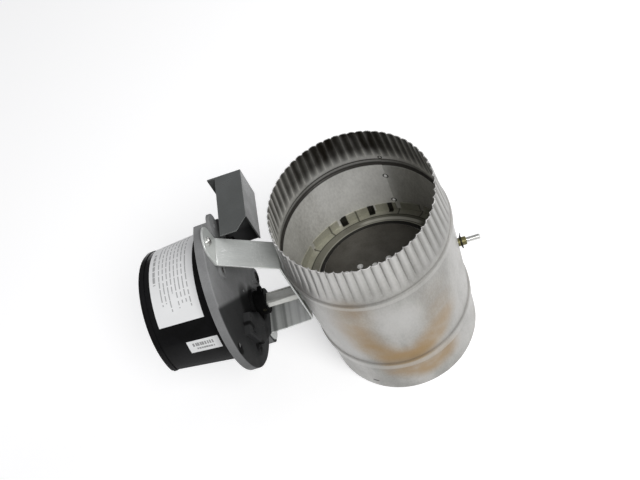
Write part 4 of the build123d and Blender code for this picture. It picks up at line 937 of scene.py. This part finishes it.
# A round hole in the wall for the shaft, on one side
def cutHole(work, side, holeRadius):
    center = pipe["shaftHeight"]
    gone = []
    for face in work.faces:
        middle = face.calc_center_median()
        if middle.x * side > pipe["holeReach"] and math.hypot(middle.y, middle.z - center) < holeRadius:
            gone.append(face)
    bmesh.ops.delete(work, geom=gone, context="FACES")
    edges = [edge for edge in work.edges if edge.is_boundary]
    for edge in edges:
        for vert in edge.verts:
            away = math.hypot(vert.co.y, vert.co.z - center)
            if vert.co.x * side > pipe["holeReach"] and away > 0:
                vert.co.y *= holeRadius / away
                vert.co.z = center + (vert.co.z - center) * holeRadius / away
    bmesh.ops.bridge_loops(work, edges=edges)


def makePipe():
    spread = random.Random(pipe["seed"])
    count = pipe["crimps"] * pipe["stepsPerCrimp"]
    depths = [1.0 + pipe["crimpSpread"] * (spread.random() * 2 - 1) for _ in range(pipe["crimps"])]
    feet = [pipe["crimpFootSpread"] * spread.random() for _ in range(pipe["crimps"])]
    levels = pipeLevels()
    loops = [(z, False) for z in levels] + [(z, True) for z in reversed(levels)]
    points = np.empty((len(loops), count, 3))
    shadeAndGrime = np.empty((len(loops), count))
    shine = np.empty((len(loops), count))
    for row, (z, inside) in enumerate(loops):
        for column in range(count):
            angle = 2 * math.pi * column / count
            if z > pipe["crimpFoot"]:
                wall = crimpWall(angle, z, inside, depths, feet)
            else:
                wall = plainWall(angle, z, inside)
            radius, shadeAndGrime[row, column], shine[row, column] = wall
            points[row, column] = (radius * math.cos(angle), radius * math.sin(angle), z)
    # Outer wall, cut ends and inner wall, in the order of the mesh's materials
    faces = []
    marks = []
    rows = len(loops)
    for row in range(rows):
        below = (row + 1) % rows
        mark = 1 if below in (0, len(levels)) else 0 if row < len(levels) else 2
        for column in range(count):
            beside = (column + 1) % count
            faces.append((row * count + column, row * count + beside,
                          below * count + beside, below * count + column))
            marks.append(mark)
    mesh = bpy.data.meshes.new("pipeShell")
    mesh.from_pydata(points.reshape(-1, 3).tolist(), [], faces)
    mesh.polygons.foreach_set("material_index", marks)
    for name, values in (("shadeAndGrime", shadeAndGrime), ("shine", shine)):
        layer = mesh.attributes.new(name, "FLOAT", "POINT")
        layer.data.foreach_set("value", values.reshape(-1).tolist())
    for name in ("galvanised", "cutEdge", "galvanisedInside"):
        mesh.materials.append(materials[name])
    work = bmesh.new()
    work.from_mesh(mesh)
    for side, holeRadius in pipe["shaftHoles"]:
        cutHole(work, side, holeRadius)
    bmesh.ops.recalc_face_normals(work, faces=work.faces)
    for face in work.faces:
        face.smooth = True
    work.to_mesh(mesh)
    work.free()
    mesh.set_sharp_from_angle(angle=math.radians(pipe["sharpAngle"]))
    return addObject("pipeShell", mesh)


pipeShell = makePipe()
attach(pipeShell, "duct_and_actuator")
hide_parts("damper_pipe")
print("pipe", len(pipeShell.data.polygons))


# A domed head with the hole of its pulled stem, on every point, along its facing and at its share of the size
def rivetTree():
    tree = bpy.data.node_groups.new("blindRivets", "GeometryNodeTree")
    sizes = [(name, "Float") for name in ("Head radius", "Head height", "Hole radius", "Hole depth")]
    for name, kind in [("Points", "Geometry")] + sizes + [("Seed", "Int"), ("Finish", "Material")]:
        tree.interface.new_socket(name, in_out="INPUT", socket_type="NodeSocket" + kind)
    tree.interface.new_socket("Rivets", in_out="OUTPUT", socket_type="NodeSocketGeometry")
    into = tree.nodes.new("NodeGroupInput").outputs
    ball = addNode(tree, "GeometryNodeMeshUVSphere", {
        "Segments": rivets["headSides"], "Rings": rivets["headRings"], "Radius": 1.0}).outputs["Mesh"]
    shape = combine(tree, into["Head radius"], into["Head radius"], into["Head height"])
    head = addNode(tree, "GeometryNodeTransform", {"Geometry": ball, "Scale": shape}).outputs[0]
    drill = addNode(tree, "GeometryNodeMeshCylinder", {
        "Vertices": rivets["holeSides"], "Radius": into["Hole radius"],
        "Depth": times(tree, into["Hole depth"], 2.0)}).outputs["Mesh"]
    lift = combine(tree, z=into["Head height"])
    drill = addNode(tree, "GeometryNodeTransform", {"Geometry": drill, "Translation": lift}).outputs[0]
    drilled = addNode(tree, "GeometryNodeMeshBoolean", {"Mesh 1": head, "Mesh 2": drill},
                      operation="DIFFERENCE").outputs[0]
    stored = "GeometryNodeInputNamedAttribute"
    facing = addNode(tree, stored, {"Name": "facing"}, data_type="FLOAT_VECTOR").outputs[0]
    share = addNode(tree, stored, {"Name": "share"}, data_type="FLOAT").outputs[0]
    aim = addNode(tree, "FunctionNodeAlignRotationToVector", {"Vector": facing}, axis="Z").outputs[0]
    spin = addNode(tree, "FunctionNodeRandomValue", {2: 0.0, 3: 2 * math.pi, "Seed": into["Seed"]},
                   data_type="FLOAT").outputs[1]
    spin = addNode(tree, "FunctionNodeAxisAngleToRotation", {"Axis": (0, 0, 1), "Angle": spin}).outputs[0]
    turned = addNode(tree, "FunctionNodeRotateRotation", {"Rotation": aim, "Rotate By": spin},
                     rotation_space="LOCAL").outputs[0]
    placed = addNode(tree, "GeometryNodeInstanceOnPoints", {
        "Points": into["Points"], "Instance": drilled, "Rotation": turned,
        "Scale": combine(tree, share, share, 1.0)}).outputs[0]
    real = addNode(tree, "GeometryNodeRealizeInstances", {"Geometry": placed}).outputs[0]
    done = addNode(tree, "GeometryNodeSetMaterial", {"Geometry": real, "Material": into["Finish"]}).outputs[0]
    tree.links.new(done, tree.nodes.new("NodeGroupOutput").inputs[0])
    return tree


# A plain mesh object from a node tree that works on points with a facing and a share of the size
def bakeNodes(name, tree, points, facings, shares, values, sharpAngle):
    seed = bpy.data.meshes.new(name + "Points")
    seed.from_pydata(points, [], [])
    layer = seed.attributes.new("facing", "FLOAT_VECTOR", "POINT")
    layer.data.foreach_set("vector", [part for facing in facings for part in facing])
    layer = seed.attributes.new("share", "FLOAT", "POINT")
    layer.data.foreach_set("value", shares)
    holder = addObject(name + "Points", seed)
    grower = holder.modifiers.new(name, "NODES")
    grower.node_group = tree
    for item in tree.interface.items_tree:
        if item.in_out == "INPUT" and item.name in values:
            grower[item.identifier] = values[item.name]
    ready = holder.evaluated_get(bpy.context.evaluated_depsgraph_get())
    mesh = bpy.data.meshes.new_from_object(ready)
    mesh.name = name
    holder.modifiers.remove(grower)
    bpy.data.objects.remove(holder)
    for face in mesh.polygons:
        face.use_smooth = True
    mesh.set_sharp_from_angle(angle=math.radians(sharpAngle))
    return addObject(name, mesh)


# Each rivet has a full head outside and a smaller end inside
def makeRivets():
    points, facings, shares = [], [], []
    for angle, height, innerFace, outerFace in rivets["places"]:
        outward = Vector((math.cos(math.radians(angle)), math.sin(math.radians(angle)), 0))
        for radius, way, share in ((outerFace, 1, 1.0), (innerFace, -1, rivets["blindShare"])):
            points.append(tuple(outward * radius + Vector((0, 0, height))))
            facings.append(tuple(outward * way))
            shares.append(share)
    return bakeNodes("blindRivets", rivetTree(), points, facings, shares, {
        "Head radius": rivets["headRadius"], "Head height": rivets["headHeight"],
        "Hole radius": rivets["holeRadius"], "Hole depth": rivets["holeDepth"],
        "Seed": rivets["seed"], "Finish": materials["rivetAluminium"],
    }, rivets["sharpAngle"])


blindRivets = makeRivets()
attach(blindRivets, "duct_and_actuator")
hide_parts("seam_rivets", "bracket_rivets")
print("rivets", len(blindRivets.data.polygons))

# Small rounded edges on three CAD pieces, by modifiers alone
softEdges = {
    "widths": {"hat_bracket": 0.0003, "harness_guard": 0.00025, "blade_shaft": 0.0002},
    "weld": 0.000002,
    "segments": 2,
    "sharpAngle": 35,
}
for node, width in softEdges["widths"].items():
    weld = nodes[node].modifiers.new("weld", "WELD")
    weld.merge_threshold = softEdges["weld"]
    bevel = nodes[node].modifiers.new("soften", "BEVEL")
    bevel.width = width
    bevel.segments = softEdges["segments"]
    bevel.limit_method = "ANGLE"
    bevel.angle_limit = math.radians(softEdges["sharpAngle"])
    bevel.use_clamp_overlap = True
    bevel.harden_normals = True
print("soft edges", len(softEdges["widths"]))

white = (1, 1, 1, 1)
studio = {
    "lamps": {"keyLamp": ((0.62, -1.00, 1.45), 0.9, 21.0), "sideLamp": ((1.5, 0.35, 0.75), 0.9, 9.0)},
    "target": (-0.04, 0.0, 0.1),
    "skyHigh": (0.40, 0.40, 0.41, 1),
    "skyLow": (0.10, 0.10, 0.10, 1),
    "skyFade": (-0.3, 0.7),
    "floorHalf": 6.0,
    "floorHeight": -0.0003,
    "floorColor": (0.80, 0.80, 0.80, 1),
    "floorShade": (0.30, 0.30, 0.30, 1),
    "floorLift": 0.42,
}
for name, (place, size, power) in studio["lamps"].items():
    lamp = bpy.data.lights.new(name, "AREA")
    lamp.shape = "DISK"
    lamp.size = size
    lamp.energy = power
    holder = addObject(name, lamp)
    holder.location = place
    holder.rotation_euler = (Vector(studio["target"]) - Vector(place)).to_track_quat("-Z", "Y").to_euler()

# The world lights the object with a soft sky, and the camera sees it white
world = bpy.data.worlds.new("studioSky")
world.use_nodes = True
tree = world.node_tree
tree.nodes.clear()
height = split(tree, addNode(tree, "ShaderNodeTexCoord").outputs["Generated"])[2]
skyColor = mixColor(tree, ramp(tree, height, *studio["skyFade"]), studio["skyLow"], studio["skyHigh"])
sky = addNode(tree, "ShaderNodeBackground", {"Color": skyColor, "Strength": 1.0})
plain = addNode(tree, "ShaderNodeBackground", {"Color": white, "Strength": 1.0})
seen = addNode(tree, "ShaderNodeLightPath").outputs["Is Camera Ray"]
mixed = addNode(tree, "ShaderNodeMixShader", {0: seen, 1: sky.outputs[0], 2: plain.outputs[0]})
tree.links.new(mixed.outputs[0], tree.nodes.new("ShaderNodeOutputWorld").inputs[0])
bpy.context.scene.world = world

# The floor is lifted to white for the camera and for reflections, and keeps the object's shadow
floorMesh = bpy.data.meshes.new("studioFloor")
half, floorHeight = studio["floorHalf"], studio["floorHeight"]
corners = [(x, y, floorHeight) for x, y in ((-half, -half), (half, -half), (half, half), (-half, half))]
floorMesh.from_pydata(corners, [], [(0, 1, 2, 3)])
floor = addObject("studioFloor", floorMesh)
floorMaterial = bpy.data.materials.new("studioFloor")
floorMaterial.use_nodes = True
tree = floorMaterial.node_tree
tree.nodes.clear()
pale = addNode(tree, "ShaderNodeBsdfDiffuse", {"Color": studio["floorColor"]})
dim = addNode(tree, "ShaderNodeBsdfDiffuse", {"Color": studio["floorShade"]})
glow = addNode(tree, "ShaderNodeEmission", {"Color": white, "Strength": studio["floorLift"]})
both = addNode(tree, "ShaderNodeAddShader", {0: pale.outputs[0], 1: glow.outputs[0]})
paths = addNode(tree, "ShaderNodeLightPath").outputs
seen = calc(tree, "MAXIMUM", paths["Is Camera Ray"], paths["Is Glossy Ray"])
mixed = addNode(tree, "ShaderNodeMixShader", {0: seen, 1: dim.outputs[0], 2: both.outputs[0]})
tree.links.new(mixed.outputs[0], tree.nodes.new("ShaderNodeOutputMaterial").inputs[0])
floorMesh.materials.append(floorMaterial)
print("studio", len(studio["lamps"]), "lamps")

camera = {
    "place": (0.0539, -0.3727, 0.6840),
    "right": (0.94431, -0.15796, -0.28866),
    "down": (-0.29531, -0.79379, -0.53168),
    "ahead": (-0.14515, 0.58732, -0.79623),
    "lens": 40.9,
    "sensor": 36.0,
    "clip": (0.01, 50),
}
eye = bpy.data.cameras.new("photoCamera")
eye.lens = camera["lens"]
eye.sensor_width = camera["sensor"]
eye.sensor_fit = "HORIZONTAL"
eye.clip_start, eye.clip_end = camera["clip"]
holder = addObject("photoCamera", eye)
right = Vector(camera["right"]).normalized()
up = -Vector(camera["down"]).normalized()
back = -Vector(camera["ahead"]).normalized()
turned = Matrix((right, up, back)).transposed().to_4x4()
holder.matrix_world = Matrix.Translation(Vector(camera["place"])) @ turned
bpy.context.scene.camera = holder
bpy.context.scene.view_settings.view_transform = "Standard"
